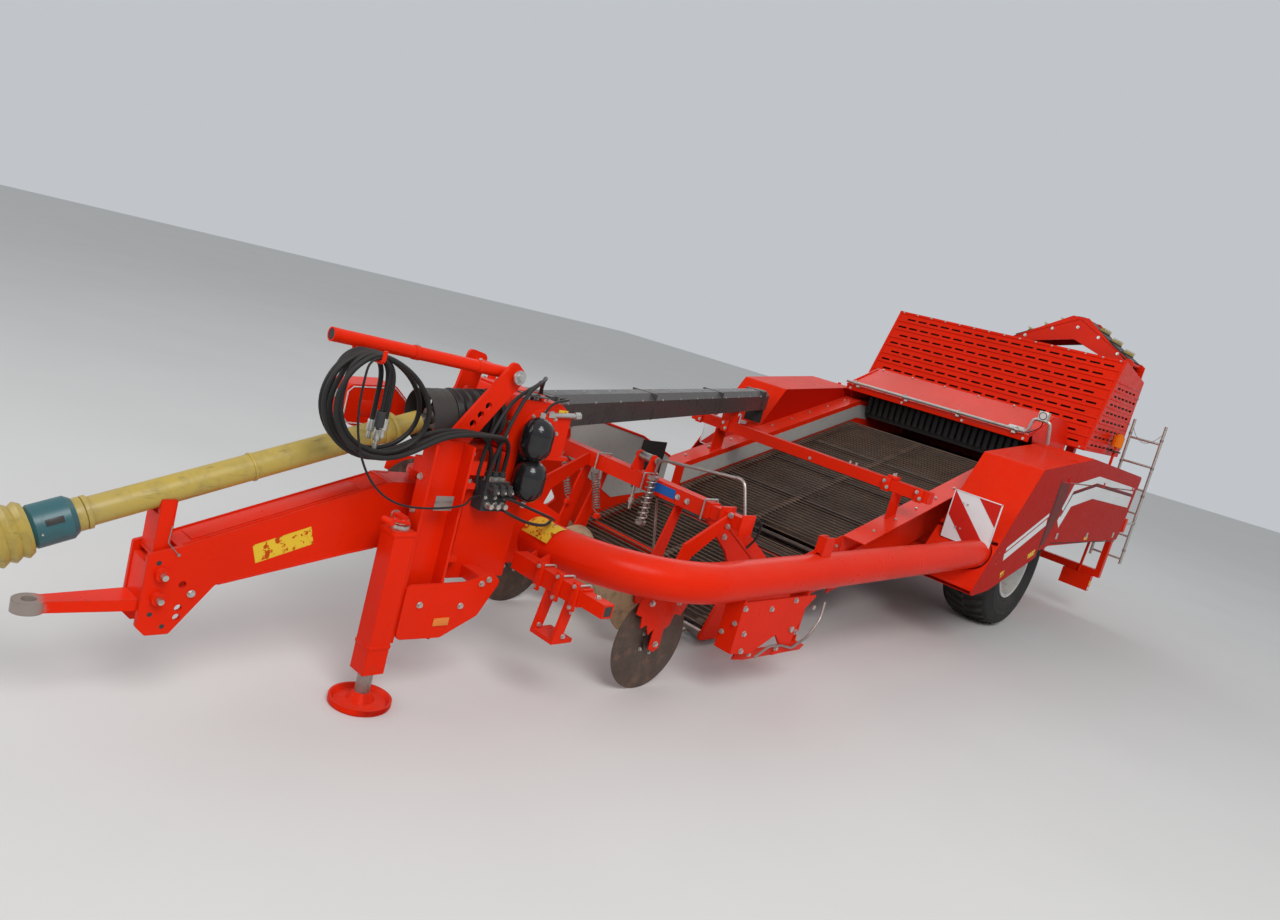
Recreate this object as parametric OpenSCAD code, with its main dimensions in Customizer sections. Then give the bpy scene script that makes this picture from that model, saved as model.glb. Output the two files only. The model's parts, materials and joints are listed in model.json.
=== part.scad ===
// Trailed two-row potato harvester, parked on its jack.
// X runs to the rear, Y to the machine's right side and Z up, in millimetres.
// The ground is at Z = 0 and the origin is under the middle of the machine.

/* [Wheels and axle] */
// Outer radius of a tyre, out to the tread
tyre_r = 620; // [590:5:640]
// Width of a tyre
tyre_w = 490; // [400:10:490]
// Radius of the seat that the tyre's beads sit on
rim_r = 290; // [270:5:310]
// Distance from the machine's middle to a tyre's middle
track_half = 1175; // [1175:5:1190]
// Place of the axle along the machine
axle_x = 2800; // [2750:10:2850]
// Side of the square axle beam
axle_side = 120; // [100:5:130]
// Diameter of the wheel spindles
spindle_d = 90; // [70:5:100]

/* [Main tube] */
// Diameter of the curved main tube
tube_d = 229; // [210:1:232]
// Radius of the tube's bend, along its middle line
bend_r = 735; // [700:5:760]
// Distance of the tube's long run from the machine's middle
tube_y = 1510; // [1490:5:1515]
// Height of the tube's middle line over the ground at the bend
tube_z = 745; // [735:5:755]
// Place of the tube's front run along the machine
tube_front_x = -2960; // [-2980:5:-2940]

/* [Drawbar and jack] */
// Distance of the drawbar's middle line from the machine's middle
draw_y = -700; // [-710:5:-690]
// Width of the drawbar over its side plates
draw_w = 180; // [170:5:190]
// Thickness of the drawbar's side plates
draw_t = 20; // [14:1:24]
// Diameter of the hole in the tow eye
eye_bore = 50; // [40:1:58]
// Outer diameter of the tow eye's ring
eye_ring = 112; // [100:1:130]
// Thickness of the tow eye's ring
eye_t = 46; // [36:1:60]
// Height of the tow eye's middle over the ground
eye_z = 470; // [465:1:480]
// Diameter of the drawbar's upright pivot pin
pivot_d = 70; // [60:1:80]
// Diameter of the jack's foot plate
foot_d = 290; // [240:5:300]
// Side of the jack's square outer tube
jack_side = 110; // [96:1:116]
// Diameter of the jack's sliding leg
leg_d = 70; // [55:1:76]

/* [Power shaft] */
// Diameter of the yellow guard tube
guard_d = 112; // [100:1:116]
// Upward tilt of the power shaft to the rear
pto_tilt = 19.4; // [19:0.1:19.8]
// Length of the power shaft from its rear joint to its front yoke
pto_l = 2060; // [2040:5:2070]
// Diameter of the splined bore in the yoke
spline_d = 35; // [30:1:40]
// Width of the black guard over the line shaft
line_w = 190; // [160:5:200]
// Height of the black guard over the line shaft
line_h = 185; // [160:5:190]

/* [Conveyor channel] */
// Half of the clear width between the channel's side walls
channel_half = 900; // [890:5:903]
// Thickness of the side walls
wall_t = 8; // [5:1:10]
// Slope of the conveyor webs
web_slope = 17.65; // [17:0.05:18]
// Diameter of a web's rods
rod_d = 12; // [9:0.5:14]
// Distance from rod to rod along a web
rod_pitch = 50; // [44:1:60]
// Thickness of a web's belts
belt_t = 10; // [6:1:12]
// Radius of the main web's rollers
roller_r = 90; // [80:1:92]
// Radius of the front web's rollers
nose_r = 50; // [44:1:52]

/* [Intake] */
// Diameter of the disc coulters
disc_d = 590; // [540:5:590]
// Distance of the outer disc coulters from the machine's middle
disc_y = 1250; // [1230:5:1260]
// Side of the intake's square cross tube
cross_side = 100; // [90:1:110]
// Largest diameter of the ridge rollers
ridge_d = 480; // [440:5:490]
// Smallest diameter of the ridge rollers, at their waist
waist_d = 260; // [220:5:300]
// Distance of the ridge rollers from the machine's middle
ridge_y = 430; // [420:5:440]

/* [Covers] */
// Distance of the covers' outer faces from the machine's middle
cover_y = 1650; // [1650:5:1670]
// Distance of the covers' inner faces from the machine's middle
inner_y = 1100; // [1090:5:1110]
// Thickness of the covers' sheets
cover_t = 12; // [8:1:13]

/* [Elevator] */
// Height of the elevator's floor over the ground
elev_z = 1850; // [1845:5:1860]
// Thickness of the elevator's slotted sheets
elev_t = 6; // [4:1:8]
// Length of a slot in the elevator's sheets
slot_l = 110; // [80:5:130]
// Height of a slot in the elevator's sheets
slot_h = 22; // [14:1:28]
// Height of the folded neck's ridge over the elevator's top edge
neck_h = 390; // [370:5:400]

/* [Hidden] */

$fn = 64;

// Clearances: between curved faces at rest, at a running pin, and beside a swinging panel
gap = 0.3;
fit = 0.05;
door_gap = 6;

paint = "orangered";
side_paint = "firebrick";
dark = "dimgray";
steel = "silver";
rubber = [0.08, 0.08, 0.08];
guard_yellow = "gold";
zinc = "lightsteelblue";

// Steps along each rounded corner of a plate
corner_steps = 4;

function unit(v) = v / norm(v);
function turned(a) = a > 180 ? a - 360 : a < -180 ? a + 360 : a;
function arc(c, r, a0, a1, n) = [for (i = [0:n]) c + r * [cos(a0 + (a1 - a0) * i / n), sin(a0 + (a1 - a0) * i / n)]];

// One corner of an outline, rounded to radius r
function corner(a, b, c, r) = r == 0 ? [b] :
  let (u = unit(a - b), v = unit(c - b), half = acos(u * v) / 2)
  let (m = b + unit(u + v) * r / sin(half))
  let (s = b + u * r / tan(half) - m, e = b + v * r / tan(half) - m)
  let (a0 = atan2(s[1], s[0]), da = turned(atan2(e[1], e[0]) - a0))
  arc(m, r, a0, a0 + da, corner_steps);

function wrap(p, i) = p[(i + len(p)) % len(p)];

// An outline whose corners are rounded to r, one radius for all
function rounded(p, r) = [for (i = [0:len(p) - 1]) each corner(wrap(p, i - 1), p[i], wrap(p, i + 1), r)];

// A counter-clockwise outline moved inwards by t
function inset(p, t) = [for (i = [0:len(p) - 1])
  let (u = unit(p[i] - wrap(p, i - 1)), v = unit(wrap(p, i + 1) - p[i]))
  let (n1 = [-u[1], u[0]], n2 = [-v[1], v[0]])
  p[i] + (n1 + n2) * t / (1 + n1 * n2)];

// A block between two opposite corners
module block(a, b) {
  translate(a) cube(b - a);
}

// A plate across Y, with its outline in X and Z
module side_plate(outline, y0, y1) {
  translate([0, y1, 0]) rotate([90, 0, 0]) linear_extrude(y1 - y0) polygon(outline);
}

// A level plate, with its outline in X and Y
module level_plate(outline, z0, z1) {
  translate([0, 0, z0]) linear_extrude(z1 - z0) polygon(outline);
}

// A plate across X, with its outline in Y and Z
module cross_plate(outline, x0, x1) {
  translate([x0, 0, 0]) rotate([90, 0, 90]) linear_extrude(x1 - x0) polygon(outline);
}

// A round bar from point a to point b
module bar(a, b, d) {
  v = b - a;
  translate(a) rotate([0, acos(v[2] / norm(v)), atan2(v[1], v[0])]) cylinder(h = norm(v), d = d);
}

// A round bar along Y
module bar_y(x, y0, y1, z, d) {
  translate([x, y1, z]) rotate([90, 0, 0]) cylinder(h = y1 - y0, d = d);
}

// A solid of revolution about a Y axis through x and z; the outline holds radii and places along -Y
module spun_y(x, y, z, outline) {
  translate([x, y, z]) rotate([90, 0, 0]) rotate_extrude() polygon(outline);
}

// A smooth curve through points, with n steps from point to point
function along(a, b, c, d, t) = (2 * b + (c - a) * t + (2 * a - 5 * b + 4 * c - d) * t * t
  + (3 * b - a - 3 * c + d) * t * t * t) / 2;
function smooth(p, n) = let (last = len(p) - 1) [for (i = [0:last - 1], k = [0:n - 1])
  along(p[max(i - 1, 0)], p[i], p[i + 1], p[min(i + 2, last)], k / n), p[last]];

// A path of straight runs whose corners are bent to about radius r in n steps
function softened(p, r, n) = let (last = len(p) - 1) [p[0], for (i = [1:last - 1])
  let (a = p[i] + unit(p[i - 1] - p[i]) * r, c = p[i] + unit(p[i + 1] - p[i]) * r)
  each [for (k = [0:n]) let (t = k / n) a * (1 - t) * (1 - t) + p[i] * 2 * t * (1 - t) + c * t * t], p[last]];

// A tube of radius r with n sides along a path; ref is a direction that the path never follows
function ring(p, d, r, n, ref) = let (u = unit(cross(d, ref)), v = cross(u, d))
  [for (k = [0:n - 1]) p + r * (u * cos(360 * k / n) + v * sin(360 * k / n))];
module swept(path, r, n, ref) {
  last = len(path) - 1;
  rings = [for (i = [0:last])
    let (d = unit(path[min(i + 1, last)] - path[max(i - 1, 0)])) each ring(path[i], d, r, n, ref)];
  sides = [for (i = [0:last - 1], k = [0:n - 1])
    [i * n + k, i * n + (k + 1) % n, (i + 1) * n + (k + 1) % n, (i + 1) * n + k]];
  polyhedron(points = rings, faces = concat([[for (k = [n - 1:-1:0]) k]], sides,
    [[for (k = [0:n - 1]) last * n + k]]));
}

// Both sides of the machine
module both_sides() {
  children();
  mirror([0, 1, 0]) children();
}

// Height of the webs' upper surface at a place along the machine
web_x0 = 800;
web_z0 = 790;
function web_z(x) = web_z0 + (x - web_x0) * tan(web_slope);

// Wheels: a tyre with rounded shoulders, beads on the rim and sidewalls that bulge
bead_half = 0.42 * tyre_w;
bulge_r = 440;
shoulder_r = 575;
module tyre() {
  half = tyre_w / 2;
  tread_half = 0.36 * tyre_w;
  outline = rounded([[rim_r + gap, -bead_half], [rim_r + flange_h + 10, -bead_half], [bulge_r, -half], [shoulder_r, -half + 12],
    [tyre_r, -tread_half], [tyre_r, tread_half], [shoulder_r, half - 12], [bulge_r, half],
    [rim_r + flange_h + 10, bead_half], [rim_r + gap, bead_half]], 6);
  color(rubber) spun_y(axle_x, track_half, tyre_r, outline);
}

rim_t = 12;
flange_h = 22;
disc_offset = 60;
disc_t = 16;
hub_r = 75;
hub_half = 70;
module rim() {
  bead = bead_half + gap;
  barrel = [[rim_r - rim_t, -bead - rim_t], [rim_r + flange_h, -bead - rim_t], [rim_r + flange_h, -bead],
    [rim_r, -bead], [rim_r, bead], [rim_r + flange_h, bead], [rim_r + flange_h, bead + rim_t],
    [rim_r - rim_t, bead + rim_t]];
  web = [[spindle_d / 2 + fit, -hub_half], [hub_r, -hub_half], [hub_r, -disc_offset - disc_t],
    [rim_r - rim_t + 1, -disc_offset - disc_t], [rim_r - rim_t + 1, -disc_offset], [hub_r, -disc_offset],
    [hub_r, hub_half], [spindle_d / 2 + fit, hub_half]];
  color("whitesmoke") {
    spun_y(axle_x, track_half, tyre_r, barrel);
    spun_y(axle_x, track_half, tyre_r, web);
  }
}

// Axle: a square beam on two pairs of hangers, with a spindle and its collar at each end
beam_drop = 300;
beam_h = 160;
beam_y1 = channel_half - 20;
beam_y0 = beam_y1 - 90;
function beam_top(x) = web_z(x) - beam_drop;
function beam_bottom(x) = beam_top(x) - beam_h / cos(web_slope);
axle_half = track_half - tyre_w / 2 - 30;
hanger_w = 180;
module axle() {
  x0 = axle_x - hanger_w;
  x1 = axle_x + hanger_w;
  z0 = tyre_r + axle_side / 2;
  color(dark) {
    block([axle_x - axle_side / 2, -axle_half, tyre_r - axle_side / 2],
      [axle_x + axle_side / 2, axle_half, z0]);
    both_sides() {
      bar_y(axle_x, axle_half - 5, track_half - hub_half - gap, tyre_r, spindle_d + 40);
      bar_y(axle_x, axle_half - 5, track_half + hub_half + 10, tyre_r, spindle_d);
      for (y = [beam_y0, beam_y1 - 16]) {
        side_plate([[axle_x - axle_side / 2, z0 - 1], [axle_x + axle_side / 2, z0 - 1],
          [x1, beam_bottom(x1) - fit], [x0, beam_bottom(x0) - fit]], y, y + 16);
      }
    }
  }
}

// Frame: sloping side beams that turn level behind the webs, cross members, the seat of the main
// tube at the left front, posts for the elevator and a braced bumper at the rear
beam_x0 = 1500;
level_x = 3100;
rear_x = 5120;
seat_x0 = 1500;
seat_x1 = 1700;
seat_z0 = 590;
seat_z1 = 705;
bumper_z0 = 480;
bumper_z1 = 560;
post_w = 90;
post_y0 = 790;
hinge_y = 1530;
hinge_z = elev_z - 45;
hinge_d = 50;
hinge_arm_z0 = 1770;
hinge_arm_z1 = 1835;
// Places along the machine of the two post pairs and of the elevator's hinge lugs beside them
post_x = [4400, 5000];
module frame() {
  top = beam_top(level_x);
  color(paint) {
    both_sides() {
      side_plate([[beam_x0, beam_bottom(beam_x0)], [level_x, beam_bottom(level_x)],
        [rear_x, beam_bottom(level_x)], [rear_x, top], [level_x, top], [beam_x0, beam_top(beam_x0)]],
        beam_y0, beam_y1);
      for (x = post_x) {
        block([x, post_y0, top - 1], [x + post_w, post_y0 + post_w, elev_z]);
      }
      // Legs of the bumper and their braces
      block([rear_x, beam_y0, bumper_z0], [rear_x + 80, beam_y1, top]);
      side_plate([[rear_x + 1, bumper_z1 - 60], [rear_x + 1, bumper_z1 + 40],
        [4420, beam_bottom(level_x) + 1], [4300, beam_bottom(level_x) + 1]], beam_y0, beam_y0 + 60);
    }
    // Cross members
    block([seat_x0, -tube_y - 90, seat_z0], [seat_x1, 1250, seat_z1]);
    block([3600, -beam_y0 - 1, beam_bottom(level_x)], [3760, beam_y0 + 1, top - 20]);
    block([rear_x, -1630, top - beam_h], [rear_x + 80, 1560, top]);
    block([rear_x, -1560, bumper_z0], [rear_x + 80, 1560, bumper_z1]);
    for (y = [-1560, 1500]) {
      block([rear_x, y, bumper_z0], [rear_x + 80, y + 60, top]);
    }
    // Seat of the main tube
    block([seat_x0, -tube_y - 90, seat_z0], [seat_x1, -tube_y + 90, tube_end_z + 120]);
    // Outriggers from the cross member up to the side beams
    both_sides() {
      block([seat_x0, beam_y0, beam_bottom(seat_x1)], [seat_x1, beam_y1, seat_z1]);
    }
    // Arms and pins of the elevator's hinge
    for (x = post_x) {
      block([x, post_y0 + 1, hinge_arm_z0], [x + post_w, hinge_y - 100, hinge_arm_z1]);
      cross_plate([[hinge_y - 160, hinge_arm_z0], [hinge_y + 30, hinge_arm_z0], [hinge_y + 42, hinge_z],
        [hinge_y + 20, hinge_z + 38], [hinge_y - 20, hinge_z + 38], [hinge_y - 60, hinge_arm_z1],
        [hinge_y - 160, hinge_arm_z1]], x + 5, x + 35);
      bar([x + 4, hinge_y, hinge_z], [x + post_w, hinge_y, hinge_z], hinge_d);
    }
  }
}

// Side walls of the conveyor channel, each with a lip that flares out to the covers
wall_x0 = 180;
wall_x1 = 4300;
wall_up = 190;
wall_down = 300;
ledge_rise = 60;
flange_up = 24;
function wall_top(x) = web_z(min(x, level_x)) + wall_up;
lug_w = 16;
module side_wall() {
  inner = channel_half;
  outer = channel_half + wall_t;
  lip = (inner_y - gap) - outer;
  side_plate([[wall_x0, web_z(wall_x0) - wall_down], [wall_x0 + 120, web_z(wall_x0 + 120) - wall_down],
    [level_x, web_z(level_x) - wall_down + 40], [wall_x1, web_z(level_x) - wall_down + 40],
    [wall_x1, wall_top(level_x)], [level_x, wall_top(level_x)], [wall_x0, wall_top(wall_x0)]], inner, outer);
  // Lip: a sloping sheet, level behind the webs
  for (s = [[wall_x0, level_x], [level_x, wall_x1]]) {
    z0 = wall_top(s[0]);
    z1 = wall_top(s[1]);
    translate([0, outer + lip, 0]) rotate([90, 0, 0]) linear_extrude(lip)
      polygon([[s[0], z0 - wall_t], [s[1], z1 - wall_t], [s[1], z1], [s[0], z0]]);
  }
  // Stiffening fold along the wall's outer face
  side_plate([[wall_x0 + 40, web_z(wall_x0 + 40) - 20], [level_x, web_z(level_x) - 20],
    [level_x, web_z(level_x) + 20], [wall_x0 + 40, web_z(wall_x0 + 40) + 20]], outer - 1, outer + flange_up);
  // Lug that carries the intake's lift shaft
  difference() {
    side_plate(rounded([[lift_x - 60, lift_z - 60], [lift_x + 200, lift_z - 90], [lift_x + 200, lift_z + 110],
      [lift_x - 60, lift_z + 60]], 30), outer - 1, outer + lug_w);
    bar_y(lift_x, outer - 2, outer + lug_w + 1, lift_z, lift_d + 2 * fit);
  }
}
module side_wall_left() {
  color(paint) mirror([0, 1, 0]) side_wall();
}
module side_wall_right() {
  color(paint) side_wall();
}

// A web: rods across two or three endless belts that run over two end rollers.
// Its frame has X along the upper run, from roller to roller, and Z square to it.
function web_reach(r) = r + belt_t + rod_d + 2 * gap;
module web_loop(run, r, belts) {
  inner = r + gap;
  outer = inner + belt_t;
  rod_at = outer + gap + rod_d / 2;
  half = channel_half - 20;
  belt_w = 60;
  color(rubber) for (y = belts) {
    translate([0, y + belt_w / 2, 0]) rotate([90, 0, 0]) linear_extrude(belt_w) difference() {
      union() {
        translate([0, -outer]) square([run, 2 * outer]);
        circle(outer);
        translate([run, 0]) circle(outer);
      }
      union() {
        translate([0, -inner]) square([run, 2 * inner]);
        circle(inner);
        translate([run, 0]) circle(inner);
      }
    }
  }
  count = floor(run / rod_pitch);
  turns = floor(180 * rod_at * PI / 180 / rod_pitch);
  color(steel) {
    for (i = [0:count], side = [-1, 1]) {
      bar_y(i * rod_pitch + (run - count * rod_pitch) / 2, -half, half, side * rod_at, rod_d);
    }
    for (i = [1:turns - 1]) {
      a = 90 + i * 180 / turns;
      bar_y(rod_at * cos(a), -half, half, rod_at * sin(a), rod_d);
      bar_y(run - rod_at * cos(a), -half, half, rod_at * sin(a), rod_d);
    }
  }
}

// End rollers of a web on their shafts, and idlers under the upper run
module web_shafts(run, r, belts, idlers) {
  drum_w = 90;
  shaft_d = 40;
  color(dark) {
    for (x = [0, run]) {
      bar_y(x, -channel_half, channel_half, 0, shaft_d);
      for (y = belts) {
        bar_y(x, y - drum_w / 2, y + drum_w / 2, 0, 2 * r);
      }
    }
    for (i = [1:idlers]) {
      x = run * i / (idlers + 1);
      z = r - shaft_d / 2;
      bar_y(x, -channel_half, channel_half, z - shaft_d / 2, shaft_d);
      for (y = belts) {
        bar_y(x, y - drum_w / 4, y + drum_w / 4, z - shaft_d / 2, 2 * shaft_d);
      }
    }
  }
}

// The middle of a web's front roller, so that its rods' tops lie on the sloping surface
function web_origin(x, r, lift) = [x, 0, web_z(x) + lift - web_reach(r) / cos(web_slope)];
module on_slope(x, r, lift) {
  translate(web_origin(x, r, lift)) rotate([0, -web_slope, 0]) children();
}

main_x = 330;
main_run = 2750;
belt_y = [70 - channel_half, 0, channel_half - 70];
module main_web() {
  on_slope(main_x, roller_r, 0) web_loop(main_run, roller_r, belt_y);
}
module web_rollers() {
  on_slope(main_x, roller_r, 0) web_shafts(main_run, roller_r, belt_y, 3);
}

// Cross conveyor behind the webs: a belt with cleats over two rollers, in a tray
cross_x0 = 3300;
cross_x1 = 4250;
cross_r = 55;
cross_z = 1330;
cleat_h = 40;
module cross_web() {
  half = channel_half - cross_r - 20;
  count = 12;
  color(rubber) {
    difference() {
      union() {
        block([cross_x0, -half, cross_z - cross_r], [cross_x1, half, cross_z + cross_r]);
        for (y = [-half, half]) {
          bar([cross_x0, y, cross_z], [cross_x1, y, cross_z], 2 * cross_r);
        }
      }
      union() {
        block([cross_x0 - 1, -half, cross_z - cross_r + belt_t], [cross_x1 + 1, half, cross_z + cross_r - belt_t]);
        for (y = [-half, half]) {
          bar([cross_x0 - 1, y, cross_z], [cross_x1 + 1, y, cross_z], 2 * (cross_r - belt_t));
        }
      }
    }
    for (i = [0:count - 1]) {
      y = -half + (i + 0.5) * 2 * half / count;
      block([cross_x0 + 20, y - 6, cross_z + cross_r - 1], [cross_x1 - 20, y + 6, cross_z + cross_r + cleat_h]);
    }
  }
  color(dark) for (y = [-half, half]) {
    bar([cross_x0 - 60, y, cross_z], [cross_x1 + 40, y, cross_z], 2 * (cross_r - belt_t - gap));
  }
  color(paint) for (x = [cross_x0 - 80, cross_x1 + 40]) {
    block([x, -channel_half, cross_z - 90], [x + 10, channel_half, cross_z + 90]);
  }
}

// Main tube: front run, bend and long run to its flange, with a flange at the head as well
bend_x = tube_front_x + bend_r;
bend_y = -tube_y + bend_r;
tube_head_y = -450;
tube_rise = 1.6;
tube_l = seat_x0 - bend_x;
tube_end_z = tube_z + tube_l * tan(tube_rise);
tube_foot = [seat_x0 - 5, -tube_y, tube_end_z];
flange_t = 20;
module main_tube() {
  color(paint) {
    translate([bend_x, bend_y, tube_z]) {
      rotate([0, 0, 180]) rotate_extrude(angle = 90) translate([bend_r, 0]) circle(d = tube_d);
    }
    bar([tube_front_x, bend_y, tube_z], [tube_front_x, tube_head_y, tube_z], tube_d);
    translate([bend_x, -tube_y, tube_z]) sphere(d = tube_d);
    bar([bend_x, -tube_y, tube_z], tube_foot, tube_d);
    block([seat_x0 - flange_t, -tube_y - 110, tube_end_z - 110], [seat_x0, -tube_y + 110, tube_end_z + 110]);
    block([tube_front_x - 125, tube_head_y, tube_z - 125], [tube_front_x + 125, tube_head_y + flange_t, tube_z + 125]);
  }
}

// Head: a welded tower with clevis plates for the drawbar's pivot, a channel that carries the jack,
// gussets round the main tube, a platform for the gearbox and two leaning arms
tower_x0 = -3560;
tower_x1 = -3200;
tower_y0 = -850;
tower_y1 = -550;
tower_z0 = 560;
tower_z1 = 1200;
pivot_x = -3700;
clevis_z0 = 695;
clevis_z1 = 1040;
clevis_t = 30;
nose_half = 100;
channel_x0 = -3900;
channel_x1 = -3680;
channel_y0 = -990;
channel_y1 = -900;
channel_z0 = 310;
channel_z1 = 1270;
platform_y1 = -300;
arm_foot_left = [-3790, 1146];
arm_foot_right = [-3520, 1190];
arm_head = [-3450, 1610];
tie_z = 1110;
arm_w = 120;
arm_t = 20;
module clevis(z0) {
  color(paint) {
    level_plate([[tower_x0 + 1, tower_y1], [pivot_x, draw_y + nose_half], [pivot_x, draw_y - nose_half],
      [channel_x1 + 20, channel_y1 - 1], [tower_x0 + 1, channel_y1 - 1]], z0, z0 + clevis_t);
    translate([pivot_x, draw_y, z0]) cylinder(r = nose_half, h = clevis_t);
  }
}
module leaning_arm(arm_foot, y0) {
  v = unit(arm_head - arm_foot);
  n = [-v[1], v[0]] * arm_w / 2;
  outline = rounded([arm_foot - n, arm_head - n + v * 50, arm_head + n + v * 50, arm_foot + n], 30);
  color(paint) difference() {
    side_plate(outline, y0, y0 + arm_t);
    bar_y(arm_head[0], y0 - 1, y0 + arm_t + 1, arm_head[1], 40);
    for (k = [0.45, 0.55, 0.65]) {
      c = arm_foot + (arm_head - arm_foot) * k;
      bar_y(c[0], y0 - 1, y0 + arm_t + 1, c[1], 36);
    }
  }
}
module head() {
  color(paint) {
    block([tower_x0, tower_y0, tower_z0], [tower_x1, tower_y1, tower_z1]);
    // Gussets round the main tube
    for (y = [-765, -665, -570]) {
      difference() {
        side_plate(rounded([[tower_x1 - 1, tube_z - 150], [tube_front_x + 140, tube_z - 150],
          [tube_front_x + 160, tube_z + 120], [tower_x1 - 1, tube_z + 300]], 20), y, y + arm_t);
        bar_y(tube_front_x, y - 1, y + arm_t + 1, tube_z, tube_d + 2 * gap);
      }
    }
    // Platform
    block([tower_x0, tower_y0, tower_z1 - 1], [-2950, platform_y1, tower_z1 + 20]);
    side_plate([[tower_x1 - 1, tower_z1 - 180], [-2980, tower_z1], [tower_x1 - 1, tower_z1]], tower_y1 - 40, tower_y1 - 20);
    // Channel for the jack, and the arm that ties it to the tower
    difference() {
      block([channel_x0, channel_y0, channel_z0], [channel_x1, channel_y1, channel_z1]);
      block([channel_x0 + 14, channel_y0 - 1, channel_z0 - 1], [channel_x1 - 14, channel_y1 - 14, channel_z1 + 1]);
    }
    block([channel_x0, channel_y1 - 1, tie_z], [tower_x0 + 40, tower_y0 + 1, tie_z + 70]);
    // Pivot pin with its head
    translate([pivot_x, draw_y, clevis_z0 - clevis_t - 20]) cylinder(d = pivot_d, h = clevis_z1 - clevis_z0 + 2 * clevis_t + 40);
    translate([pivot_x, draw_y, clevis_z1 + clevis_t - 1]) cylinder(d = pivot_d + 40, h = 20);
  }
  clevis(clevis_z0 - clevis_t);
  clevis(clevis_z1);
  leaning_arm(arm_foot_left, tower_y0 - arm_t);
  leaning_arm(arm_foot_right, tower_y1);
}

// Gearbox on the platform, with an output to the line shaft, and an input shaft that ends in a ball
// at the power shaft's rear joint; its frame has X along the input shaft, back from the ball
box_x0 = -3380;
box_x1 = -2990;
box_y0 = -845;
box_y1 = -310;
box_z1 = 1500;
shaft_z = 1344;
input_tilt = 7;
ball_d = 84;
module on_input() {
  translate([pivot_x, draw_y, shaft_z]) rotate([0, 90 - input_tilt, 0]) children();
}
module on_line() {
  translate(line_start) rotate([0, -line_tilt, line_yaw]) children();
}
module gearbox() {
  input_l = box_x0 - pivot_x + 60;
  color(paint) {
    side_plate(rounded([[box_x0, tower_z1 + 20], [box_x1, tower_z1 + 20], [box_x1, box_z1 - 60],
      [box_x1 - 90, box_z1], [box_x0 + 60, box_z1], [box_x0, box_z1 - 90]], 24), box_y0, box_y1);
    on_input() translate([0, 0, input_l - 120]) cylinder(d = 180, h = 120);
    on_line() rotate([0, -90, 0]) cylinder(d = 130, h = 180);
  }
  color(steel) {
    on_input() {
      sphere(d = ball_d);
      cylinder(d = 50, h = input_l - 60);
    }
    for (y = [box_y0 + 60, box_y1 - 60]) {
      translate([(box_x0 + box_x1) / 2, y, box_z1 - 1]) cylinder(d = 46, h = 25);
    }
  }
}

// Bell guard over the power shaft's rear joint: a ribbed rubber cone, open to the front
bell_s = [20, 300];
bell_mouth_r = 122;
bell_base_r = 112;
bell_t = 6;
bell_ribs = 5;
module pto_bell() {
  step = (bell_s[1] - 30 - bell_s[0]) / (2 * bell_ribs);
  ribs = [for (i = [2 * bell_ribs:-1:0]) [bell_mouth_r + (bell_base_r - bell_mouth_r) * i / (2 * bell_ribs)
    + (i % 2) * 10, bell_s[0] + i * step]];
  outline = concat([[90 + gap, bell_s[1]], [bell_base_r + 12, bell_s[1]], [bell_base_r + 12, bell_s[1] - 20]], ribs,
    [[bell_mouth_r - bell_t, bell_s[0]], [bell_base_r - bell_t, bell_s[1] - 30], [90 + gap, bell_s[1] - 30]]);
  color(rubber) on_input() rotate_extrude() polygon(outline);
}

// Guard over the line shaft, from the gearbox back to the right side: a folded sheet, open below
line_start = [-2880, -405, 1378];
line_end = [1560, 1180, 1495];
line_v = line_end - line_start;
line_yaw = atan2(line_v[1], line_v[0]);
line_tilt = atan2(line_v[2], norm([line_v[0], line_v[1]]));
line_t = 8;
module pto_line_guard() {
  w = line_w / 2;
  h = line_h / 2;
  outline = [[-w, -h], [w, -h], [w, h - 45], [w - 45, h], [-w + 45, h], [-w, h - 45]];
  hollow = concat([[-w + line_t, -h - 1], [w - line_t, -h - 1]], [for (i = [2:5]) inset(outline, line_t)[i]]);
  length = norm(line_v);
  color(rubber) on_line() {
    difference() {
      rotate([90, 0, 90]) linear_extrude(length) polygon(outline);
      translate([line_t, 0, 0]) rotate([90, 0, 90]) linear_extrude(length - 2 * line_t) polygon(hollow);
    }
    // Line shaft inside
    rotate([0, 90, 0]) translate([0, 0, line_t - 1]) cylinder(d = 60, h = length - 2 * line_t + 2);
  }
}

// Hose arm: a cross pin through the leaning arms, and a tube over the drawbar with a peg near its tip
hose_arm_y = -800;
arm_tip = [-4400, hose_arm_y, 1652];
arm_root = [arm_head[0], hose_arm_y, arm_head[1]];
peg_x = -4290;
peg_z = 1600.5;
peg_d = 18;
peg_y = -1040;
module hose_arm() {
  color(paint) {
    bar_y(arm_head[0], tower_y0 - arm_t - 25, tower_y1 + arm_t + 25, arm_head[1], 40 - 2 * gap);
    bar(arm_tip, arm_root, 60);
    swept(softened([[peg_x, hose_arm_y, peg_z + 40], [peg_x, hose_arm_y, peg_z], [peg_x, peg_y, peg_z],
      [peg_x, peg_y, peg_z + 50]], 20, 3), peg_d / 2, 8, [1, 0.3, 0.5]);
  }
}

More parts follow.
